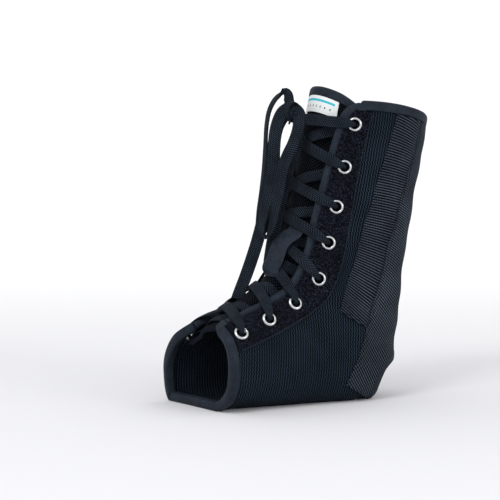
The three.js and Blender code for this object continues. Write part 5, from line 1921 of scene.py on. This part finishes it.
@dataclass
class Studio:
    """Camera, soft lights and the pale floor."""

    target: tuple[float, float, float] = (0.0, 0.025, 0.108)
    azimuth: float = math.radians(64)
    lift: float = math.radians(3.5)
    distance: float = 1.15

    def camera(self) -> None:
        """The photograph's own view: 64 degrees round, a little above the floor."""
        level = math.cos(self.lift)
        back = Vector((math.sin(self.azimuth) * level, -math.cos(self.azimuth) * level, math.sin(self.lift)))
        data = bpy.data.cameras.new("camera")
        data.lens, data.sensor_width, data.shift_x = 115.0, 36.0, -0.1246
        data.clip_start = 0.05
        camera = add_object("camera", data)
        camera.location = Vector(self.target) + back * self.distance
        camera.rotation_euler = (-back).to_track_quat("-Z", "Y").to_euler()
        bpy.context.scene.camera = camera

    def light(self, name: str, place: tuple[float, float, float], size: float, power: float) -> None:
        """One square soft light aimed at the brace.

        Args:
            name: The light's name.
            place: Where it stands, in metres.
            size: Its side in metres.
            power: Its watts.
        """
        data = bpy.data.lights.new(name, "AREA")
        data.size, data.energy = size, power
        lamp = add_object(name, data)
        lamp.location = place
        lamp.rotation_euler = (Vector(self.target) - Vector(place)).to_track_quat("-Z", "Y").to_euler()

    def build(self) -> None:
        """Lights, surroundings and floor."""
        world = bpy.data.worlds.new("studio")
        world.use_nodes = True
        background = world.node_tree.nodes["Background"]
        background.inputs[0].default_value, background.inputs[1].default_value = (1.0, 1.0, 1.0, 1.0), 1.0
        bpy.context.scene.world = world
        bpy.context.scene.view_settings.view_transform = "Standard"
        self.light("key", (0.9, -1.3, 1.5), 0.7, 14.0)
        self.light("side", (1.7, 0.9, 0.7), 0.6, 8.0)
        # A sweep: flat under the brace, then a quarter circle up to a wall behind it
        turn = np.linspace(0, np.pi / 2, 24)
        profile = [(-12.0, 0.0), *zip(1.6 + 1.8 * np.sin(turn), 1.8 - 1.8 * np.cos(turn)), (3.4, 7.0)]
        sine, cosine = math.sin(self.azimuth), math.cos(self.azimuth)
        points = [(-sine * d + cosine * w, cosine * d + sine * w, z) for d, z in profile for w in (-12.0, 12.0)]
        faces = [(2 * k, 2 * k + 1, 2 * k + 3, 2 * k + 2) for k in range(len(profile) - 1)]
        mesh = bpy.data.meshes.new("floor")
        mesh.from_pydata(points, [], faces)
        mesh.polygons.foreach_set("use_smooth", [True] * len(faces))
        mesh.materials.append(PaleFloor().material())
        add_object("floor", mesh)


def note(obj: bpy.types.Object, stands: bool = True) -> None:
    """Hides the CAD node that a piece stands for, and reports the piece.

    Args:
        obj: The piece.
        stands: Whether it stands for the CAD node of its own name.
    """
    if stands:
        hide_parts(obj.name.removesuffix("_visual"))
    LOG.info("%s: %d faces", obj.name, len(obj.data.polygons))


def main() -> None:
    """Builds every piece in order."""
    logging.basicConfig(level=logging.INFO, format="%(name)s %(message)s")
    studio, bow, bindings, tongue = Studio(), Bow(), Bindings(), Tongue()
    studio.camera()
    lace = WovenLace().material()
    for obj in bow.build(lace):
        note(obj)
    note(bow.knot(lace))
    note(Lacing().build(lace))
    note(Sleeve().build(KnitMesh().material()))
    brushed, webbing, tape = BrushedFacing().material(), Webbing().material(), FoldedTape().material()
    note(RearPanel().build(RibbedElastic().material()))
    metal, thread = NickelEyelet().material(), SewingThread().material()
    for side in Side:
        layers = SideLayers(side)
        note(layers.facing(brushed))
        note(layers.stay_pocket(webbing))
        note(bindings.slot(side).build(f"slot_binding_{side.label}", tape))
        for obj in EyeletRow(side).build(metal):
            note(obj)
        note(Seams(side).build(thread), False)
    note(bindings.end(True).build("collar_binding", tape))
    note(bindings.end(False).build("toe_binding", tape))
    note(bindings.heel().build("heel_binding", tape))
    note(tongue.build(TongueKnit().material()))
    note(tongue.binding(tape))
    note(tongue.label(WovenLabel().material()))
    note(tongue.keeper(SatinTape().material()))
    studio.build()


if __name__ == "__main__":
    main()
